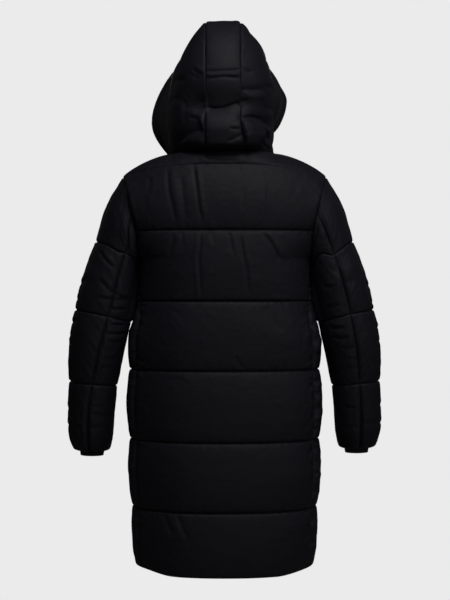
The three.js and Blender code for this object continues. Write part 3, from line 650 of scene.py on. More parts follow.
backMarks = [
    # between yoke and chest line
    crease(5, 2.4, 0.4, (130, -42), (128, -81), (124, -111), (116, -138), (110, -176)),
    crease(6, 1.8, -0.4, (99, -64), (94, -108), (89, -138), (88, -170)),
    crease(3.6, 3, 0.5, (71, -36), (67, -69), (61, -106), (56, -147), (50, -174)),
    crease(5, 1.6, 0.5, (171, -68), (171, -112)),
    crease(3.5, 1.4, 0.3, (-32, -38), (-35, -60)),
    crease(5, 1.4, 0.4, (-43, -92), (-40, -148)),
    crease(3.6, 2.2, -0.4, (-97, -84), (-96, -137), (-89, -184)),
    # between chest line and waist line
    crease(5, 1.5, 0.4, (118, -192), (118, -222), (124, -250)),
    crease(3, 1.2, 0.4, (96, -192), (94, -226)),
    crease(3.2, 3.2, -0.4, (53, -190), (55, -235), (59, -250), (56, -284), (53, -348)),
    crease(4, 1.2, -0.5, (30, -192), (23, -228)),
    crease(3.5, 2, 0.4, (-9, -190), (-15, -220), (-19, -250)),
    crease(3.4, 3, 0.3, (-35, -190), (-38, -220), (-41, -248), (-49, -278), (-52, -312), (-55, -347)),
    crease(4.2, 3.2, 0.5, (-88, -193), (-105, -220), (-119, -247), (-124, -264)),
    # below the waist line
    crease(13, 1.8, 0.3, (-88, -362), (-108, -396), (-134, -430)),
    crease(5, 1.6, 0.4, (-20, -478), (-32, -494), (-42, -509)),
    crease(5, 2.2, 0.5, (138, -843), (128, -868), (115, -896)),
    crease(4.5, 2, -0.5, (108, -843), (96, -874), (80, -903)),
    # short slanting puckers down the right side seam
    crease(5, 3, 0.6, (-222, -386), (-208, -402), (-192, -424)),
    crease(5, 3.4, 0.6, (-224, -426), (-209, -446), (-190, -470)),
    crease(5, 2.4, -0.5, (-220, -476), (-208, -486), (-198, -490)),
    crease(5, 3.4, 0.6, (-222, -536), (-206, -550), (-188, -556)),
    crease(4.5, 2.8, 0.5, (-220, -566), (-204, -580), (-192, -588)),
    crease(5.5, 3.4, 0.6, (-220, -598), (-207, -620), (-188, -640)),
    crease(4.5, 2.6, 0.5, (-218, -648), (-206, -658), (-196, -664)),
    crease(5, 3.2, 0.6, (-218, -696), (-202, -706), (-186, -712)),
    crease(4.5, 2.8, 0.5, (-218, -722), (-206, -736), (-192, -742)),
    crease(5, 3.2, 0.6, (-216, -752), (-202, -766), (-188, -780)),
    crease(5, 3, 0.5, (-216, -790), (-204, -806), (-192, -820)),
    crease(5, 2.6, 0.5, (-214, -860), (-200, -874), (-188, -882)),
    crease(5, 2.4, -0.5, (-212, -906), (-198, -926), (-190, -936)),
    # the soft fold on the yoke
    crease(3, 2, -0.3, (61, -7), (50, -17), (34, -25), (0, -27), (-40, -26)),
    # left sleeve
    crease(4, 3, 0.5, (296, -232), (284, -252), (259, -278)),
    crease(4.5, 3, 0.5, (296, -298), (283, -314), (264, -336), (226, -353)),
    crease(3.2, 2.2, 0.5, (300, -345), (262, -350), (232, -351)),
    crease(3.2, 2.4, 0.4, (276, -371), (256, -373), (232, -371)),
    crease(3.2, 2.2, 0.5, (270, -408), (252, -410), (234, -409)),
    crease(3.2, 2.4, 0.5, (282, -430), (258, -431), (236, -430)),
    crease(3, 1.6, 0.5, (280, -449), (260, -450), (246, -449)),
    crease(3, 1.4, 0.5, (292, -489), (276, -490), (262, -489)),
    crease(3, 1.4, 0.5, (296, -510), (280, -511), (264, -509)),
    crease(3.4, 2, 0.4, (326, -617), (300, -627), (262, -632)),
    crease(3.6, 2.2, 0.5, (362, -654), (326, -656), (288, -653)),
    crease(3, 1.3, 0.5, (344, -604), (310, -606), (286, -602)),
    # right sleeve
    crease(9, 2.6, 0.3, (-286, -238), (-270, -268), (-255, -292)),
    crease(8, 2.6, 0.4, (-310, -297), (-284, -312), (-274, -330), (-281, -364), (-288, -388)),
    crease(4, 2.2, 0.5, (-236, -318), (-252, -321), (-266, -316)),
    crease(4, 2.4, 0.5, (-240, -369), (-256, -367), (-272, -360)),
    crease(3.6, 3.4, 0.5, (-250, -415), (-266, -418), (-284, -415)),
    crease(4.5, 2.6, 0.4, (-254, -436), (-276, -443), (-300, -438)),
    crease(3.2, 1.6, 0.5, (-276, -463), (-292, -466), (-312, -462)),
    crease(3.2, 1.6, 0.5, (-290, -488), (-304, -491), (-322, -486)),
    crease(3, 1.4, 0.5, (-290, -511), (-304, -514), (-318, -510)),
    crease(3.2, 2.4, 0.5, (-286, -604), (-300, -606), (-314, -607)),
    crease(3.6, 2.2, 0.5, (-322, -643), (-346, -646), (-366, -644)),
    crease(3.6, 2, 0.4, (-284, -656), (-300, -656), (-320, -651)),
]
hoodMarks = [
    # the two soft creases over the crown, and the small ones beside them
    crease(4, 3, -0.6, (48, 178), (20, 177), (-10, 178), (-44, 183)),
    crease(3.5, 3, 0.5, (44, 160), (22, 163), (2, 166), (-24, 163), (-40, 165)),
    crease(4, 3, 0.6, (-40, 190), (-52, 180), (-66, 178)),
    crease(5, 3, 0.5, (76, 188), (62, 174), (50, 170)),
    crease(4, 2, 0.5, (84, 176), (70, 170), (60, 160)),
    # the deep fold across the back, with the puff under it
    fold(8, 34, 7, 50, 70, (86, 80), (66, 94), (46, 96), (26, 91), (2, 92), (-17, 99), (-45, 109), (-68, 113)),
    crease(3, 4.5, 0.01, (50, 98), (26, 94), (2, 95), (-17, 102), (-45, 112), (-62, 117)),
    # right panel: two folds, one over the other
    fold(4, 8, 4, 17, 12, (-30, 135), (-46, 137), (-66, 137), (-80, 139), (-92, 144)),
    fold(6.5, 11, 10, 40, 50, (-22, 64), (-32, 67), (-45, 70), (-67, 73), (-88, 70), (-104, 63), (-116, 54)),
    crease(3, 4, 0.01, (-38, 70), (-52, 75), (-70, 77), (-88, 74), (-96, 70)),
    crease(4, 3.5, 0.4, (-40, 144), (-43, 126), (-42, 108)),
    # left panel
    fold(3, 10, 3, 12, 14, (88, 88), (70, 104), (48, 113)),
    fold(6.5, 18, 4, 26, 20, (116, 17), (92, 33), (74, 41), (44, 45)),
    crease(4, 2, 0.4, (84, 74), (66, 72), (54, 66)),
    crease(5, 2.4, -0.4, (96, 120), (90, 90), (96, 60)),
    # low down
    crease(3.5, 2.6, 0.5, (-10, 46), (-22, 43), (-36, 45)),
    crease(4, 2.6, -0.5, (-2, 14), (-24, 22), (-50, 40)),
    crease(4.5, 4, 0.4, (-86, 58), (-96, 42), (-110, 22)),
    crease(3.6, 2.6, 0.4, (-86, 22), (-98, 12), (-108, -2)),
]
frontMarks = [
    crease(5, 2.2, 0.4, (122, -76), (112, -120), (98, -174)),
    crease(4, 1.8, -0.4, (74, -104), (70, -138), (66, -172)),
    crease(4, 2, 0.4, (-66, -92), (-62, -130), (-56, -176)),
    crease(5, 2, -0.4, (-134, -72), (-124, -110), (-110, -152)),
    crease(3.6, 2.6, 0.4, (86, -196), (94, -250), (98, -306)),
    crease(4, 2, 0.4, (-68, -196), (-76, -230), (-80, -266)),
    crease(3.6, 2.4, -0.4, (-130, -198), (-120, -262), (-112, -326)),
    crease(12, 1.8, 0.3, (142, -372), (130, -406), (114, -444)),
    crease(5, 1.6, 0.4, (-42, -466), (-52, -488), (-64, -510)),
    crease(5, 2, 0.4, (-122, -846), (-114, -872), (-102, -902)),
    crease(4.5, 1.8, -0.4, (86, -844), (80, -866), (70, -886)),
    crease(5, 1.4, 0.4, (64, -686), (58, -706), (60, -728)),
    # sleeves
    crease(4, 2.4, 0.5, (292, -236), (270, -262), (246, -280)),
    crease(4, 2.4, 0.5, (-288, -244), (-262, -268), (-240, -284)),
    crease(4, 2.6, 0.5, (300, -330), (270, -350), (236, -352)),
    crease(4, 2.6, 0.5, (-304, -322), (-272, -344), (-234, -356)),
    crease(3.4, 2.4, 0.5, (304, -388), (276, -392), (240, -386)),
    crease(3.4, 2.4, 0.5, (-300, -394), (-272, -398), (-240, -390)),
    crease(3.4, 2, 0.5, (296, -414), (270, -420), (244, -414)),
    crease(3.4, 2, 0.5, (-306, -420), (-280, -426), (-250, -418)),
    crease(3.2, 1.6, 0.5, (310, -450), (290, -453), (262, -449)),
    crease(3.2, 1.6, 0.5, (-316, -462), (-290, -466), (-262, -460)),
    crease(3.4, 2, 0.4, (352, -612), (320, -622), (280, -618)),
    crease(3.4, 2, 0.4, (-356, -606), (-322, -614), (-284, -608)),
    crease(3.6, 2, 0.4, (356, -650), (322, -655), (290, -650)),
    crease(3.6, 2, 0.4, (-358, -646), (-326, -652), (-292, -647)),
]


# the sides, where the places are (y, z)
sideMarks = dict(
    left=[
        crease(9, 4, 0.4, (66, 16), (26, 62), (-16, 96), (-60, 112)),
        crease(8, 3, -0.4, (36, 2), (-4, 44), (-52, 66)),
        crease(11, 3.5, 0.4, (-66, 196), (-20, 226), (34, 232)),
        crease(8, 3, 0.4, (92, 158), (52, 170), (4, 160)),
        crease(7, 2.6, -0.4, (84, 118), (44, 124), (6, 112)),
        crease(4.5, 2.2, 0.5, (44, -300), (14, -316), (-16, -310)),
        crease(4, 2, 0.5, (30, -344), (2, -352), (-26, -346)),
        crease(4, 2.4, 0.5, (36, -398), (6, -408), (-30, -400)),
        crease(3.6, 1.8, -0.5, (20, -432), (-8, -440), (-34, -434)),
        crease(6, 1.8, 0.4, (34, -120), (24, -160), (8, -186)),
        crease(4, 1.8, 0.4, (2, -606), (-26, -614), (-52, -608)),
        crease(4, 2, 0.5, (-4, -648), (-32, -656), (-62, -650)),
    ],
    right=[
        crease(9, 3.6, -0.4, (58, 12), (22, 52), (-12, 92), (-50, 120)),
        crease(8, 3.2, 0.4, (30, 4), (-14, 36), (-58, 50)),
        crease(12, 3.5, -0.4, (-50, 214), (-6, 232), (46, 222)),
        crease(8, 2.8, 0.4, (88, 148), (46, 152), (0, 146)),
        crease(7, 2.4, -0.4, (80, 96), (40, 104), (2, 98)),
        crease(4.5, 2.4, 0.5, (40, -310), (8, -322), (-22, -312)),
        crease(4, 2, -0.5, (34, -352), (6, -362), (-20, -356)),
        crease(4, 2.2, 0.5, (30, -410), (2, -420), (-36, -412)),
        crease(3.6, 1.8, 0.5, (26, -446), (-2, -452), (-30, -446)),
        crease(6, 1.8, -0.4, (30, -112), (22, -150), (4, -182)),
        crease(4, 1.8, 0.4, (4, -598), (-22, -606), (-48, -600)),
        crease(4, 2, 0.5, (-6, -642), (-36, -650), (-66, -644)),
    ],
)


def ripple(along, away, length, reach, seed):
    # uneven little puckers that run across a seam and fade away from it
    knots = np.random.default_rng(seed).uniform(-1, 1, 512)
    place = along / length * 2 + 0.25 * np.sin(along / 41 + seed) + 0.04 * away * np.sin(along / 67)
    k = np.floor(place).astype(int)
    value = mix(knots[k % 512], knots[(k + 1) % 512], smoothStep(place - k, 0, 1))
    return value * np.exp(-(away / reach) ** 1.5)


# the panels: where their cloth lies, and how full it is between its stitched lines
bodyLines = (body["hem"],) + body["quiltLines"] + (body["chestLine"], body["yokeLine"])
sleeveLines = (0,) + sleeve["quiltLines"] + (sleeve["last"],)


def edgeFill(part, share, power=0.5):
    # rises from 0 on a seam to 1 within that share of the panel
    return smoothStep(np.minimum(part, 1 - part), 0, share) ** power


def trimBody(point, height):
    # the hem rises a little at its corners, and the left of the back is rounder
    low = smoothStep(-height, *bodyTrim["hemRows"])
    point[..., 2] += low * body["hemRise"] * smoothStep(np.abs(point[..., 0]), *bodyTrim["hemSides"])
    left = smoothStep(point[..., 0], *bodyTrim["roundSides"]) * smoothStep(point[..., 1], *bodyTrim["roundBack"])
    point[..., 1] -= body["leftRound"] * left * smoothStep(-point[..., 2], *bodyTrim["roundRows"])
    return point


def backPlace(u, v):
    base = trimBody(backPoint(u, v), v)
    return base, torsoOut(base)


def frontPlace(hand):
    def place(u, v):
        base = trimBody(mirrored(frontPoint(u, v), hand), v)
        return base, mirrored(torsoOut(mirrored(base, hand)), hand)
    return place


def yokePlace(u, v):
    base = yokePoint(u, v)
    return base, torsoOut(base)


def sleeveSeam(hand, at):
    # on the left sleeve the back seam runs nearer to the body, down to the elbow
    moved = smoothStep(at, *sleeve["seamMovedFrom"]) * (1 - smoothStep(at, *sleeve["seamMovedTo"]))
    return sleeve["backSeam"] + sleeve["seamMoved"][hand] * moved


def sleeveAngle(hand, kind, part, at):
    back = sleeveSeam(hand, at)
    first, last = (back, sleeve["frontSeam"]) if kind == "outer" else (sleeve["frontSeam"], back - 360)
    return mix(first, last, part)


def tilted(hand, at, angle):
    # the upper quilting line droops less towards the body than the sleeve's sections do
    towardsBody = bodyward(angle)
    shift = sleeve["lineDrop"] + sleeve["seamDrop"][hand] * smoothStep(towardsBody, 0, sleeve["tiltTurn"][0])
    shift = shift - sleeve["lineRise"][hand] * smoothStep(towardsBody, *sleeve["tiltTurn"])
    return at + shift * smoothStep(at, *sleeve["tiltRows"][:2]) * (1 - smoothStep(at, *sleeve["tiltRows"][1:]))


def sleevePlace(hand, kind):
    def place(u, v):
        angle = sleeveAngle(hand, kind, u, v)
        at = tilted(hand, v, angle)
        return sleevePoint(hand, at, angle), mirrored(sleeveFrame(hand, at, angle)[1], hand)
    return place


def hoodTrim(point, foot):
    # the crown is flatter and sharper-cornered, its right side and seam lie further in, and the foot bulges
    trims = hoodTrims
    x, z = point[..., 0].copy(), point[..., 2].copy()
    high = smoothStep(z, *trims["crownRows"])
    corner = np.exp(-((np.abs(x - trims["crownMiddle"]) - trims["crownAway"]) / trims["crownReach"]) ** 2)
    point[..., 2] += hood["crownCorner"] * high * corner
    middle = smoothStep(z, *trims["sideRows"]) * (1 - smoothStep(z, *trims["sideEnd"]))
    point[..., 0] += hood["rightIn"] * middle * smoothStep(-x, *trims["sideAway"])
    point[..., 0] += hood["leftOut"] * middle * smoothStep(x, *trims["sideAway"])
    point[..., 2] -= hood["tuckIn"] * foot
    low = smoothStep(z, *trims["footRows"]) * np.exp(-np.maximum(z - trims["footRows"][1], 0) / trims["footFade"])
    point[..., 1] += hood["lowBulge"] * low * smoothStep(point[..., 1], *trims["footDepth"])
    held = smoothStep(z, *trims["seamRows"]) * smoothStep(point[..., 1], *trims["seamDepth"])
    point[..., 0] += hood["seamIn"] * held * np.exp(-((x + trims["seamMiddle"]) / trims["seamReach"]) ** 2)
    return point


def centrePlace(u, v):
    base = stripPoint(v, u)
    return hoodTrim(base, v > 0.9999), hoodOut(base)


def sidePlace(hand):
    def place(u, v):
        base = hoodSidePoint(hand, u, v)
        return hoodTrim(base, v < 0.0001), hoodOut(base)
    return place


def rimPlace(u, v):
    base = rimPoint(u, v)
    return hoodTrim(base, 0 * u), hoodOut(rimPoint(0 * u, v))


bodyRows = easedLines(bodyLines, (30, 32, 33, 32, 33, 31))
waist = int(np.argmin(np.abs(bodyRows - body["quiltLines"][-1])))
sleeveRows = easedLines(sleeveLines, (30, 35, 34, 26))


def addBody(name, place, columns, share, first=0, last=1):
    for part, rows in (("skirt", bodyRows[:waist + 1]), ("upper", bodyRows[waist:])):
        hand = name.partition("_")[2]
        node = f"{name.partition('_')[0]}_{part}" + (f"_{hand}" if hand else "")
        addPanel(node, place, np.linspace(first, last, columns), rows,
                 fill=lambda u, v: channelFill(v, bodyLines) * edgeFill((u - first) / (last - first), share),
                 puff=lambda u, v, base: bodyPuff(base, v), inside=wall["bodyFill"], lines=bodyLines,
                 seamDepth=1, seamRipple=(16, 24, 2.2),
                 marks=((backMarks, 0, 1, 1), (frontMarks, 0, 1, -1)))


addBody("back", backPlace, 97, 0.07, first=-1)
for hand, side in sides.items():
    addBody(f"front_{hand}", frontPlace(hand), 67, 0.07)
    for kind in ("outer", "under"):
        addPanel(f"sleeve_{kind}_{hand}", sleevePlace(hand, kind), np.linspace(0, 1, 55), sleeveRows,
                 fill=lambda u, v: channelFill(v, sleeveLines, 0.45) * edgeFill(u, 0.07), grooveDepth=1.8,
                 puff=lambda u, v, base, hand=hand, kind=kind: sleevePuff(v, sleeveAngle(hand, kind, u, v)),
                 inside=wall["sleeveFill"], lines=sleeveLines,
                 marks=((backMarks, 0, 1, 1), (frontMarks, 0, 1, -1), (sideMarks[hand], 1, 0, side)),
                 nearBody=True, seamDepth=1, seamRipple=(13, 24, 1.3), spare=(6, 1.06))
    addPanel(f"hood_side_{hand}", sidePlace(hand), np.linspace(0, 1, 57), np.linspace(0, 1, 59),
             fill=lambda u, v: edgeFill(u, 0.1) * edgeFill(v, 0.08),
             puff=lambda u, v, base: 0 * u + 1.5, inside=wall["hoodFill"], still=True, lines=(1,),
             marks=((hoodMarks, 0, 1, 1), (sideMarks[hand], 1, 0, side)))
addPanel("back_yoke", yokePlace, np.linspace(-1, 1, 97), np.linspace(0, 1, 13),
         fill=lambda u, v: channelFill(v, (0, 1)) * edgeFill((u + 1) / 2, 0.05),
         puff=lambda u, v, base: 0 * u + 0.4 * yoke["puff"], inside=0.4 * wall["bodyFill"], still=True, lines=(0,),
         marks=((backMarks, 0, 1, 1),))
addPanel("hood_centre", centrePlace, np.linspace(-1, 1, 19), np.linspace(0, 1, 113),
         fill=lambda u, v: edgeFill(v, 0.04) * edgeFill((u + 1) / 2, 0.2),
         puff=lambda u, v, base: 0 * u + 1.5, inside=wall["hoodFill"], still=True, lines=(), seamDepth=2.4,
         marks=((hoodMarks, 0, 1, 1),))
addPanel("hood_rim", rimPlace, np.linspace(0, 1, 15), np.linspace(0, 1, 181),
         fill=lambda u, v: channelFill(u, (0, 1)), puff=lambda u, v, base: rimPuff(v), inside=wall["rimFill"],
         still=True, lines=())


# the cloth is blown up softly against its stitched lines, and settles into its own puckers
clothSim = dict(
    frames=20, quality=5, pressure=4.0, startFill=0.45, noise=0.7, pinReach=0.12,
    tension=15, compression=8, shear=5, bending=0.5, vertexMass=0.05, damping=2, spare=(9, 1.015),
    soften=30, mostPucker=5, mostSideways=3, gain=1.4,
)


def addSimSheet(panel, seed):
    u, v = np.meshgrid(panel["us"], panel["vs"])
    base, way = panel["place"](u, v)
    fill = panel["fill"](u, v)
    start = panel["puff"](u, v, base) * fill * clothSim["startFill"]
    start = start + softNoise(u.shape, 3, seed) * clothSim["noise"] * fill
    bm = bmesh.new()
    order = addGrid(bm, base + way * start[..., None])
    ways = [Vector(row) for row in way.reshape(-1, 3)[order]]
    bm.verts.index_update()
    for face in bm.faces:
        face.normal_update()
    if sum(face.normal.dot(ways[face.verts[0].index]) for face in bm.faces) < 0:
        bmesh.ops.reverse_faces(bm, faces=bm.faces)
    mesh = toMesh(bm, panel["node"] + " sim")
    obj = addObject(mesh.name, mesh)
    spareAcross, spareUp = panel.get("spare", clothSim["spare"])
    rest = base + way * spareAcross
    middle = rest.mean(axis=(0, 1))
    rest = middle + (rest - middle) * (1, 1, spareUp)
    obj.shape_key_add(name="Basis")
    key = obj.shape_key_add(name="cut")
    key.value = 0
    key.data.foreach_set("co", (rest.reshape(-1, 3)[order] * mm).ravel())
    held = 1 - smoothStep(fill.ravel()[order], 0, clothSim["pinReach"])
    group = obj.vertex_groups.new(name="held")
    for k in np.flatnonzero(held > 0):
        group.add([int(k)], float(held[k]), "REPLACE")
    modifier = obj.modifiers.new("cloth", "CLOTH")
    settings = modifier.settings
    settings.quality = clothSim["quality"]
    settings.mass = clothSim["vertexMass"]
    settings.tension_stiffness = clothSim["tension"]
    settings.compression_stiffness = clothSim["compression"]
    settings.shear_stiffness = clothSim["shear"]
    settings.bending_stiffness = clothSim["bending"]
    settings.air_damping = clothSim["damping"]
    settings.use_pressure = True
    settings.uniform_pressure_force = clothSim["pressure"]
    settings.effector_weights.gravity = 0
    settings.vertex_group_mass = "held"
    settings.rest_shape_key = key
    modifier.collision_settings.use_collision = False
    modifier.point_cache.frame_start = 1
    modifier.point_cache.frame_end = clothSim["frames"]
    return dict(panel=panel, obj=obj, order=order, base=base, way=way, fill=fill)


def softened(grid, times):
    grid = grid.copy()
    for _ in range(times):
        grid[1:-1] = (grid[:-2] + 2 * grid[1:-1] + grid[2:]) / 4
        grid[:, 1:-1] = (grid[:, :-2] + 2 * grid[:, 1:-1] + grid[:, 2:]) / 4
    return grid


def settle():
    sheets = [addSimSheet(panel, 11 + k) for k, panel in enumerate(panels) if not panel.get("still")]
    for number in range(1, clothSim["frames"] + 1):
        scene.frame_set(number)
    view = bpy.context.evaluated_depsgraph_get()
    for sheet in sheets:
        evaluated = sheet["obj"].evaluated_get(view)
        mesh = evaluated.to_mesh()
        got = np.empty(3 * len(mesh.vertices))
        mesh.vertices.foreach_get("co", got)
        evaluated.to_mesh_clear()
        settled = np.empty_like(sheet["base"]).reshape(-1, 3)
        settled[sheet["order"]] = got.reshape(-1, 3) / mm
        moved = settled.reshape(sheet["base"].shape) - sheet["base"]
        panel, way = sheet["panel"], sheet["way"]
        u, v = np.meshgrid(panel["us"], panel["vs"])
        full = panel["puff"](u, v, sheet["base"]) * sheet["fill"]
        out = (moved * way).sum(-1)
        sideways = moved - way * out[..., None]
        sideways *= np.minimum(1, clothSim["mostSideways"] / np.maximum(lengthOf(sideways), 1e-6))
        # the panel keeps its even filling, and takes the simulation's puckers
        share = softened(out / (full + 1), clothSim["soften"])
        puckers = np.clip(out - share * (full + 1), -clothSim["mostPucker"], clothSim["mostPucker"])
        panel["moved"] = sideways + way * (full + clothSim["gain"] * puckers)[..., None]
    for sheet in sheets:
        bpy.data.objects.remove(sheet["obj"])
    scene.frame_set(1)


settle()
print("settled")


# the pieces themselves, closed walls with a fine outer sheet and a coarser inner one
def arcUV(points):
    # distances along the cloth in metres, across from the middle column and along from the first row
    across, along = gridLengths(points)
    half = points.shape[1] // 2
    return np.stack([across - across[:, half:half + 1], np.broadcast_to(along[:, half:half + 1], across.shape)],
                    axis=-1) * mm


def wallMesh(name, outer, inner):
    bm = bmesh.new()
    outerOrder = addGrid(bm, outer)
    innerOrder = addGrid(bm, inner)
    edges = [edge for edge in bm.edges if edge.is_boundary]
    bmesh.ops.bridge_loops(bm, edges=edges)
    bmesh.ops.recalc_face_normals(bm, faces=bm.faces)
    mesh = toMesh(bm, name)
    uv = np.concatenate([arcUV(outer).reshape(-1, 2)[outerOrder], arcUV(inner).reshape(-1, 2)[innerOrder]])
    corners = np.empty(len(mesh.loops), int)
    mesh.loops.foreach_get("vertex_index", corners)
    mesh.uv_layers.new(name="cloth").data.foreach_set("uv", uv[corners].ravel())
    smoothFaces(mesh)
    # faces of the inner sheet carry the second material
    starts, totals = np.empty(len(mesh.polygons), int), np.empty(len(mesh.polygons), int)
    mesh.polygons.foreach_get("loop_start", starts)
    mesh.polygons.foreach_get("loop_total", totals)
    inside = np.minimum.reduceat(corners, starts) >= outer.shape[0] * outer.shape[1]
    mesh.polygons.foreach_set("material_index", inside.astype(np.int32))
    mesh.update()
    return mesh


groove = dict(
    depth=2.8, width=2.4, seamDepth=2, held=6, sleeveInto=4, sleeveSpread=4, rippleLength=17, rippleReach=16,
    ripple=0.7, seamRipple=(17, 16, 0.8),
)


def bodySide(point):
    # how far out the side of the body stands at a place, with its padding
    height = np.clip(point[..., 2], body["hem"], body["chestLine"])
    depth = np.where(point[..., 1] > 0, readTable(bodyRings, "height", height, "back"),
                     readTable(bodyRings, "height", height, "front"))
    inner = np.clip(1 - (np.abs(point[..., 1]) / depth) ** (2 / body["corner"]), 0, 1)
    side = readTable(bodyRings, "height", height, "halfWidth") * inner ** (body["corner"] / 2)
    for line in body["quiltLines"]:
        side = side - groove["sleeveInto"] * np.exp(-((height - line) / groove["sleeveSpread"]) ** 2)
    return side + readTable(bodyRings, "height", height, "sidePuff") * channelFill(height, bodyLines)


def keepClose(point):
    # the sleeve just clears the side of the body above the elbow
    side = np.sign(point[..., 0])
    gap = np.abs(point[..., 0]) - bodySide(point)
    wanted = mix(sleeve["closeTo"], gap, smoothStep(gap, *sleeve["closeGap"]))
    wanted = np.where(gap < sleeve["closeTo"], sleeve["closeTo"], wanted)
    start = smoothStep(-point[..., 2], *sleeve["closeRows"])
    near = start * (1 - smoothStep(-point[..., 2], *sleeve["closeEnd"]))
    near = near * (1 - smoothStep(np.abs(point[..., 1]), *sleeve["closeDepth"]))
    clear = np.where(gap < sleeve["closeTo"], start, near)
    point[..., 0] += side * (wanted - gap) * clear
    return point


def clothDistances(panel, base):
    # distances in millimetres along the cloth, from the nearest side seam and from the nearest stitched line
    across, along = gridLengths(base)
    fromSeam = np.minimum(across, across[:, -1:] - across)
    fromEnd = np.minimum(along, along[-1:] - along)
    vs = midLines(panel["vs"])
    fromLine = np.full(across.shape, 1e9)
    for line in panel["lines"]:
        if vs[0] - 1e-6 <= line <= vs[-1] + 1e-6:
            fromLine = np.minimum(fromLine, np.abs(along - along[int(np.argmin(np.abs(vs - line)))]))
    return across, along, fromSeam, fromEnd, fromLine


def buildPanel(panel, number):
    us, vs = midLines(panel["us"]), midLines(panel["vs"])
    u, v = np.meshgrid(us, vs)
    base, way = panel["place"](u, v)
    fill = panel["fill"](u, v)
    if "moved" in panel:
        outer = base + refine(panel["moved"])
    else:
        outer = base + way * (panel["puff"](u, v, base) * fill)[..., None]
    across, along, fromSeam, fromEnd, fromLine = clothDistances(panel, base)
    held = smoothStep(np.minimum(np.minimum(fromSeam, fromEnd), fromLine), 0, groove["held"])
    shift = -panel.get("grooveDepth", groove["depth"]) * np.exp(-(fromLine / groove["width"]) ** 2)
    seamDepth = panel.get("seamDepth", groove["seamDepth"])
    shift = np.minimum(shift, -seamDepth * np.exp(-(fromSeam / groove["width"]) ** 2))
    puckers = ripple(across, fromLine, groove["rippleLength"], groove["rippleReach"], number)
    shift += groove["ripple"] * puckers * held
    length, reach, height = panel.get("seamRipple", groove["seamRipple"])
    shift += height * ripple(along, fromSeam, length, reach, number + 50) * held
    for marks in panel.get("marks", ()):
        shift += marksShift(base, way, *marks) * held
    outer = outer + way * shift[..., None]
    if panel.get("nearBody"):
        outer = keepClose(outer)
    panel["outer"], panel["wayFine"] = outer, way
    coarseU = np.append(panel["us"][:-1:2], panel["us"][-1])
    coarseV = np.append(panel["vs"][:-1:2], panel["vs"][-1])
    u, v = np.meshgrid(coarseU, coarseV)
    base, way = panel["place"](u, v)
    inner = base - way * (wall["stitched"] + panel["inside"] * panel["fill"](u, v))[..., None]
    obj = addObject("padded_" + panel["node"], wallMesh("padded_" + panel["node"], outer, inner))
    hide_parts(panel["node"])
    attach(obj, "coat")
    panel["obj"] = obj


for number, panel in enumerate(panels):
    buildPanel(panel, number)
print("panels")


# the rib cuffs
def buildCuff(hand):
    around, rows = cuff["ribs"] * cuff["ribColumns"], cuff["rows"]
    angle = np.linspace(0, 360, around + 1)
    height = np.linspace(0, 1, rows + 1)
    angle, height = np.meshgrid(angle, height)
    base, way, down = sleeveFrame(hand, sleeve["last"] + 0 * angle, angle)
    along = mix(cuff["top"], cuff["bottom"], height)
    spread = -cuff["flare"] * smoothStep(along, *cuff["flareRows"])
    ribs = cuff["ribDepth"] * np.cos(np.radians(angle) * cuff["ribs"])
    edge = smoothStep(height, cuff["edgeFrom"], 1.0) ** 2
    outer = base + way * (-cuff["setIn"] + spread + ribs * (1 - edge) - cuff["edgeIn"] * edge)[..., None]
    outer = outer + down * along[..., None]
    inner = outer - way * (cuff["wall"] - 2 * cuff["ribDepth"] - cuff["edgeThin"] * edge + ribs)[..., None]
    loop = np.concatenate([outer, inner[::-1], outer[:1]])
    bm = bmesh.new()
    addGrid(bm, mirrored(loop, hand))
    bmesh.ops.remove_doubles(bm, verts=bm.verts, dist=1e-5)
    bmesh.ops.recalc_face_normals(bm, faces=bm.faces)
    mesh = toMesh(bm, f"knit_cuff_{hand}")
    smoothFaces(mesh)
    obj = addObject(mesh.name, mesh)
    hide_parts(f"rib_cuff_{hand}")
    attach(obj, "coat")
    return obj


cuffs = [buildCuff(hand) for hand in sides]


# the zip: two woven tapes with moulded teeth between the fronts
def zipEdge(level):
    base = frontPoint(0 * level, level)
    return base, torsoOut(base)


def buildTape(hand):
    level = np.linspace(body["hem"], body["yokeLine"], zipFront["rows"])
    base, way = zipEdge(level)
    reach = np.linspace(hood["seamGap"] / 2, zipFront["halfWidth"] + zipFront["sewnIn"], zipFront["columns"])
    outer = np.repeat((base - way * zipFront["tapeIn"])[:, None], zipFront["columns"], axis=1)
    outer[..., 0] = sides[hand] * reach
    inner = outer - way[:, None] * zipFront["tapeThick"]
    inner[..., 0] = outer[..., 0]
    obj = addObject(f"woven_tape_{hand}", wallMesh(f"woven_tape_{hand}", outer, inner))
    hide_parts(f"zip_tape_{hand}")
    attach(obj, "coat")
    return obj


tapes = [buildTape(hand) for hand in sides]


def scattered(name, template, places, right, up, out, sizes):
    # copies of a small template, one at each place, turned and scaled, as one mesh
    bm = bmesh.new()
    template(bm)
    spots = np.array([vert.co[:] for vert in bm.verts])
    faces = [[vert.index for vert in face.verts] for face in bm.faces]
    bm.free()
    scaled = spots[None] * sizes[:, None]
    points = (places[:, None] + scaled[..., :1] * right[:, None] + scaled[..., 1:2] * up[:, None]
              + scaled[..., 2:] * out[:, None])
    count = len(spots)
    allFaces = [[k * count + index for index in face] for k in range(len(places)) for face in faces]
    mesh = bpy.data.meshes.new(name)
    mesh.from_pydata((points.reshape(-1, 3) * mm).tolist(), [], allFaces)
    smoothFaces(mesh)
    mesh.update()
    obj = addObject(name, mesh)
    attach(obj, "coat")
    return obj


def bead(bm):
    # a small rounded block, one unit long on each side
    bmesh.ops.create_cube(bm, size=1)
    bmesh.ops.bevel(bm, geom=bm.edges, offset=0.28, offset_type="OFFSET", segments=1, profile=0.5,
                    affect="EDGES", material=-1)


def thread(bm):
    # one stitch, a little rounder at its middle than at its ends
    bmesh.ops.create_icosphere(bm, subdivisions=1, radius=0.5)


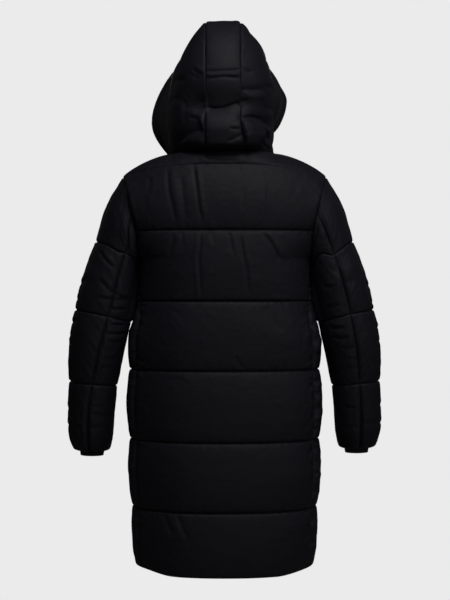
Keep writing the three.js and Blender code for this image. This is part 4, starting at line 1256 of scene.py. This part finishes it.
# moulded teeth, in turn on the left and the right tape
def buildTeeth():
    level = np.linspace(body["hem"] + tooth["firstAbove"], body["yokeLine"] - tooth["lastBelow"], 2000)
    base, way = zipEdge(level)
    arc = runningLength(base)
    spots = np.arange(0, arc[-1], tooth["pitch"] / 2)
    place = onLine(spots, arc, base)
    out = unit(onLine(spots, arc, way))
    out[:, 0] = 0
    out = unit(out)
    right = xyz(1 + 0 * spots, 0, 0)
    up = np.cross(out, right)
    hand = np.where(np.arange(len(spots)) % 2 == 0, 1.0, -1.0)
    place = place - out * (zipFront["tapeIn"] - tooth["sunk"])
    place[:, 0] = tooth["fromMiddle"] * hand
    sizes = xyz(tooth["reach"] + 0 * spots, tooth["height"], tooth["depth"])
    obj = scattered("zip_teeth", bead, place, right, up, out, sizes)
    return obj


teeth = buildTeeth()


# stitches along the quilting lines, sunk in their grooves
stitch = dict(pitch=3.6, length=2.9, width=0.75, height=0.5, lift=0.05)


def stitchRow(points, way):
    arc = runningLength(points)
    spots = np.arange(stitch["pitch"] / 2, arc[-1], stitch["pitch"])
    place = onLine(spots, arc, points)
    out = unit(onLine(spots, arc, way))
    along = unit(onLine(spots + 1, arc, points) - onLine(spots - 1, arc, points))
    out = unit(out - along * (out * along).sum(-1, keepdims=True))
    return place + out * stitch["lift"], along, np.cross(out, along), out


def buildStitches():
    rows = []
    for panel in panels:
        vs = midLines(panel["vs"])
        for line in panel["lines"][1:-1]:
            if vs[0] < line - 1e-6 and line <= vs[-1] + 1e-6:
                j = int(np.argmin(np.abs(vs - line)))
                rows.append(stitchRow(panel["outer"][j], panel["wayFine"][j]))
    place, along, side, out = (np.concatenate(part) for part in zip(*rows))
    sizes = xyz(stitch["length"] + 0 * place[:, 0], stitch["width"], stitch["height"])
    obj = scattered("stitches", thread, place, along, side, out, sizes)
    return obj


stitches = buildStitches()
print("details")


# materials
def nodeGroup(name, inputs, outputs):
    group = bpy.data.node_groups.new(name, "ShaderNodeTree")
    for label, kind, value in inputs:
        socket = group.interface.new_socket(name=label, in_out="INPUT", socket_type=kind)
        socket.default_value = value
    for label, kind in outputs:
        group.interface.new_socket(name=label, in_out="OUTPUT", socket_type=kind)
    return group, group.nodes.new("NodeGroupInput"), group.nodes.new("NodeGroupOutput")


def addNode(tree, kind, values=None, links=None, **settings):
    node = tree.nodes.new(kind)
    for key, value in settings.items():
        setattr(node, key, value)
    for key, value in (values or {}).items():
        node.inputs[key].default_value = value
    for key, source in (links or {}).items():
        tree.links.new(source, node.inputs[key])
    return node


onePerTurn = 0.1591  # the wave texture's scale that makes one band a unit


def wovenCloth():
    # colour, roughness and normal of a fine woven cloth that is a little creased and unevenly dyed
    group, given, made = nodeGroup(
        "woven cloth",
        (("Colour", "NodeSocketColor", (0.02, 0.02, 0.02, 1)),
         ("Light colour", "NodeSocketColor", (0.03, 0.03, 0.03, 1)),
         ("Threads per metre", "NodeSocketFloat", 2000), ("Thread depth", "NodeSocketFloat", 0.1),
         ("Crinkle", "NodeSocketFloat", 0.3), ("Roughness", "NodeSocketFloat", 0.55)),
        (("Colour", "NodeSocketColor"), ("Roughness", "NodeSocketFloat"), ("Normal", "NodeSocketVector")))
    uv = addNode(group, "ShaderNodeUVMap", uv_map="cloth")
    place = addNode(group, "ShaderNodeTexCoord")
    threads = addNode(group, "ShaderNodeVectorMath", operation="SCALE",
                      links={0: uv.outputs["UV"], "Scale": given.outputs["Threads per metre"]})
    warp, weft = (
        addNode(group, "ShaderNodeTexWave", wave_type="BANDS", bands_direction=direction, wave_profile="SIN",
                values={"Scale": onePerTurn, "Distortion": 0}, links={"Vector": threads.outputs[0]})
        for direction in "XY")
    weave = addNode(group, "ShaderNodeMath", operation="MULTIPLY",
                    links={0: warp.outputs["Fac"], 1: weft.outputs["Fac"]})
    soft = addNode(group, "ShaderNodeTexNoise", values={"Scale": 14, "Detail": 3, "Roughness": 0.5},
                   links={"Vector": place.outputs["Object"]})
    fine = addNode(group, "ShaderNodeTexNoise", values={"Scale": 90, "Detail": 4, "Roughness": 0.55},
                   links={"Vector": place.outputs["Object"]})
    colour = addNode(group, "ShaderNodeMix", data_type="RGBA",
                     links={"Factor": soft.outputs["Fac"], 6: given.outputs["Colour"],
                            7: given.outputs["Light colour"]})
    rough = addNode(group, "ShaderNodeMath", operation="MULTIPLY_ADD",
                    values={1: 0.12}, links={0: fine.outputs["Fac"], 2: given.outputs["Roughness"]})
    crinkle = addNode(group, "ShaderNodeBump", values={"Distance": 0.002},
                      links={"Strength": given.outputs["Crinkle"], "Height": fine.outputs["Fac"]})
    threadBump = addNode(group, "ShaderNodeBump", values={"Distance": 0.0001},
                         links={"Strength": given.outputs["Thread depth"], "Height": weave.outputs[0],
                                "Normal": crinkle.outputs["Normal"]})
    for name, source in (("Colour", colour.outputs[2]), ("Roughness", rough.outputs[0]),
                         ("Normal", threadBump.outputs["Normal"])):
        group.links.new(source, made.inputs[name])
    return group


cloths = wovenCloth()


def clothMaterial(name, colour, light, threads=2000, depth=0.1, crinkle=0.3, roughness=0.5, sheen=0.0,
                  specular=0.5):
    material = bpy.data.materials.new(name)
    material.use_nodes = True
    tree = material.node_tree
    shader = tree.nodes["Principled BSDF"]
    group = tree.nodes.new("ShaderNodeGroup")
    group.node_tree = cloths
    for name, value in {"Colour": (*colour, 1), "Light colour": (*light, 1), "Threads per metre": threads,
                        "Thread depth": depth, "Crinkle": crinkle, "Roughness": roughness}.items():
        group.inputs[name].default_value = value
    for name, target in (("Colour", "Base Color"), ("Roughness", "Roughness"), ("Normal", "Normal")):
        tree.links.new(group.outputs[name], shader.inputs[target])
    for name, value in {"Specular IOR Level": specular, "Sheen Weight": sheen, "Sheen Roughness": 0.5}.items():
        shader.inputs[name].default_value = value
    return material


def metalMaterial(name, colour, roughness):
    material = bpy.data.materials.new(name)
    material.use_nodes = True
    tree = material.node_tree
    shader = tree.nodes["Principled BSDF"]
    shader.inputs["Base Color"].default_value = (*colour, 1)
    shader.inputs["Metallic"].default_value = 1
    place = addNode(tree, "ShaderNodeTexCoord")
    grain = addNode(tree, "ShaderNodeTexNoise", values={"Scale": 900, "Detail": 3},
                    links={"Vector": place.outputs["Object"]})
    spread = addNode(tree, "ShaderNodeMath", operation="MULTIPLY_ADD", values={1: 0.18, 2: roughness - 0.09},
                     links={0: grain.outputs["Fac"]})
    tree.links.new(spread.outputs[0], shader.inputs["Roughness"])
    return material


shellCloth = clothMaterial("black nylon shell", (0.0142, 0.0134, 0.0205), (0.0175, 0.0165, 0.0245),
                           roughness=0.56, crinkle=0.25, specular=0.3)
liningCloth = clothMaterial("black lining", (0.010, 0.0096, 0.0125), (0.0125, 0.012, 0.0155),
                            roughness=0.5, crinkle=0.35, specular=0.3)
ribKnit = clothMaterial("black rib knit", (0.012, 0.011, 0.013), (0.016, 0.015, 0.017), threads=700, depth=0.6,
                        roughness=0.75, sheen=0.15, crinkle=0.2)
tapeWeave = clothMaterial("black zip tape", (0.012, 0.012, 0.014), (0.016, 0.016, 0.018), threads=1500, depth=0.5,
                          roughness=0.7, crinkle=0.1)
threadCloth = clothMaterial("black thread", (0.012, 0.0115, 0.0135), (0.015, 0.014, 0.0165), threads=3000,
                            depth=0.2, roughness=0.6, crinkle=0.1)
zipResin = clothMaterial("black zip teeth", (0.012, 0.012, 0.013), (0.014, 0.014, 0.015), depth=0, crinkle=0.05,
                         roughness=0.3)
darkMetal = metalMaterial("dark lacquered metal", (0.2, 0.2, 0.21), 0.42)

for panel in panels:
    panel["obj"].data.materials.append(shellCloth)
    panel["obj"].data.materials.append(liningCloth)
for obj in cuffs:
    obj.data.materials.append(ribKnit)
for obj in tapes:
    obj.data.materials.append(tapeWeave)
teeth.data.materials.append(zipResin)
stitches.data.materials.append(threadCloth)
for name in ("zip_slider", "zip_pull_tab"):
    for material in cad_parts[name].material_slots:
        material.material = darkMetal
print("materials")


# floor, light and camera; the coat is seen from behind, level with its waist
shot = dict(width=450, height=600, horizon=295, centre=224.5, focal=1333.3, distance=3.2, level=-0.339, sensor=24)
backdrop = dict(colour=0.83, floor=-1.6, size=30, glow=0.016, floorColour=0.3)
lampTarget = (0, 0, -0.3)
lamps = table(
    "x y z size power",
    (-0.3, 1.4, 1.6, 0.8, 8.5),
    (-0.8, 1.4, 1.6, 0.8, 2.5),
    (0, 2.0, 4.0, 1.6, 14),
    (-2.8, 2.2, 0.6, 2.0, 5),
    (-1.3, 1.5, 0.6, 0.7, 0.9),
    (-0.3, 2.6, -1.2, 0.6, 1.6),
    (0, -4.2, 0.8, 2.0, 27),
    (2.8, -3.0, 0.8, 1.6, 1),
    (-2.8, -3.0, 0.8, 1.6, 1),
)


def addLamp(x, y, z, size, power):
    light = bpy.data.lights.new("soft light", "AREA")
    light.shape = "DISK"
    light.size = size
    light.energy = power
    obj = addObject("soft light", light)
    obj.location = (x, y, z)
    obj.rotation_euler = (Vector(lampTarget) - Vector((x, y, z))).to_track_quat("-Z", "Y").to_euler()
    obj.visible_camera = False


for row in zip(*[lamps[name] for name in "x y z size power".split()]):
    addLamp(*map(float, row))


def grey(value):
    return (value, value, value, 1)


def splitByCamera(tree, kind, lit, shown):
    # one surface for the camera and another one for the light
    out = tree.nodes.new(kind)
    path = tree.nodes.new("ShaderNodeLightPath")
    both = addNode(tree, "ShaderNodeMixShader", links={0: path.outputs["Is Camera Ray"], 1: lit.outputs[0],
                                                       2: shown.outputs[0]})
    tree.links.new(both.outputs[0], out.inputs["Surface"])


def addFloor():
    bm = bmesh.new()
    bmesh.ops.create_grid(bm, x_segments=1, y_segments=1, size=backdrop["size"] / 2)
    mesh = toMesh(bm, "floor")
    mesh.transform(Matrix.Translation((0, 0, backdrop["floor"])))
    material = bpy.data.materials.new("pale floor")
    material.use_nodes = True
    tree = material.node_tree
    tree.nodes.clear()
    plain = addNode(tree, "ShaderNodeBsdfDiffuse", values={"Color": grey(backdrop["floorColour"])})
    glow = addNode(tree, "ShaderNodeEmission", values={"Color": grey(backdrop["colour"]), "Strength": 1})
    splitByCamera(tree, "ShaderNodeOutputMaterial", plain, glow)
    mesh.materials.append(material)
    obj = addObject("floor", mesh)


addFloor()

world = bpy.data.worlds.new("pale studio")
scene.world = world
world.use_nodes = True
tree = world.node_tree
tree.nodes.clear()
shownLight = addNode(tree, "ShaderNodeBackground", values={"Color": grey(backdrop["colour"]), "Strength": 1})
ambient = addNode(tree, "ShaderNodeBackground", values={"Color": grey(backdrop["glow"]), "Strength": 1})
splitByCamera(tree, "ShaderNodeOutputWorld", ambient, shownLight)

camera = bpy.data.cameras.new("camera")
camera.sensor_fit = "VERTICAL"
camera.sensor_height = shot["sensor"]
camera.lens = shot["focal"] / shot["height"] * camera.sensor_height
camera.shift_x = (shot["width"] / 2 - shot["centre"]) / shot["height"]
camera.shift_y = (shot["horizon"] - shot["height"] / 2) / shot["height"]
cameraObject = addObject("camera", camera)
cameraObject.location = (0, shot["distance"], shot["level"])
cameraObject.rotation_euler = (math.radians(90), 0, math.radians(180))
scene.camera = cameraObject
scene.view_settings.view_transform = "Standard"
scene.view_settings.look = "None"

print("done")
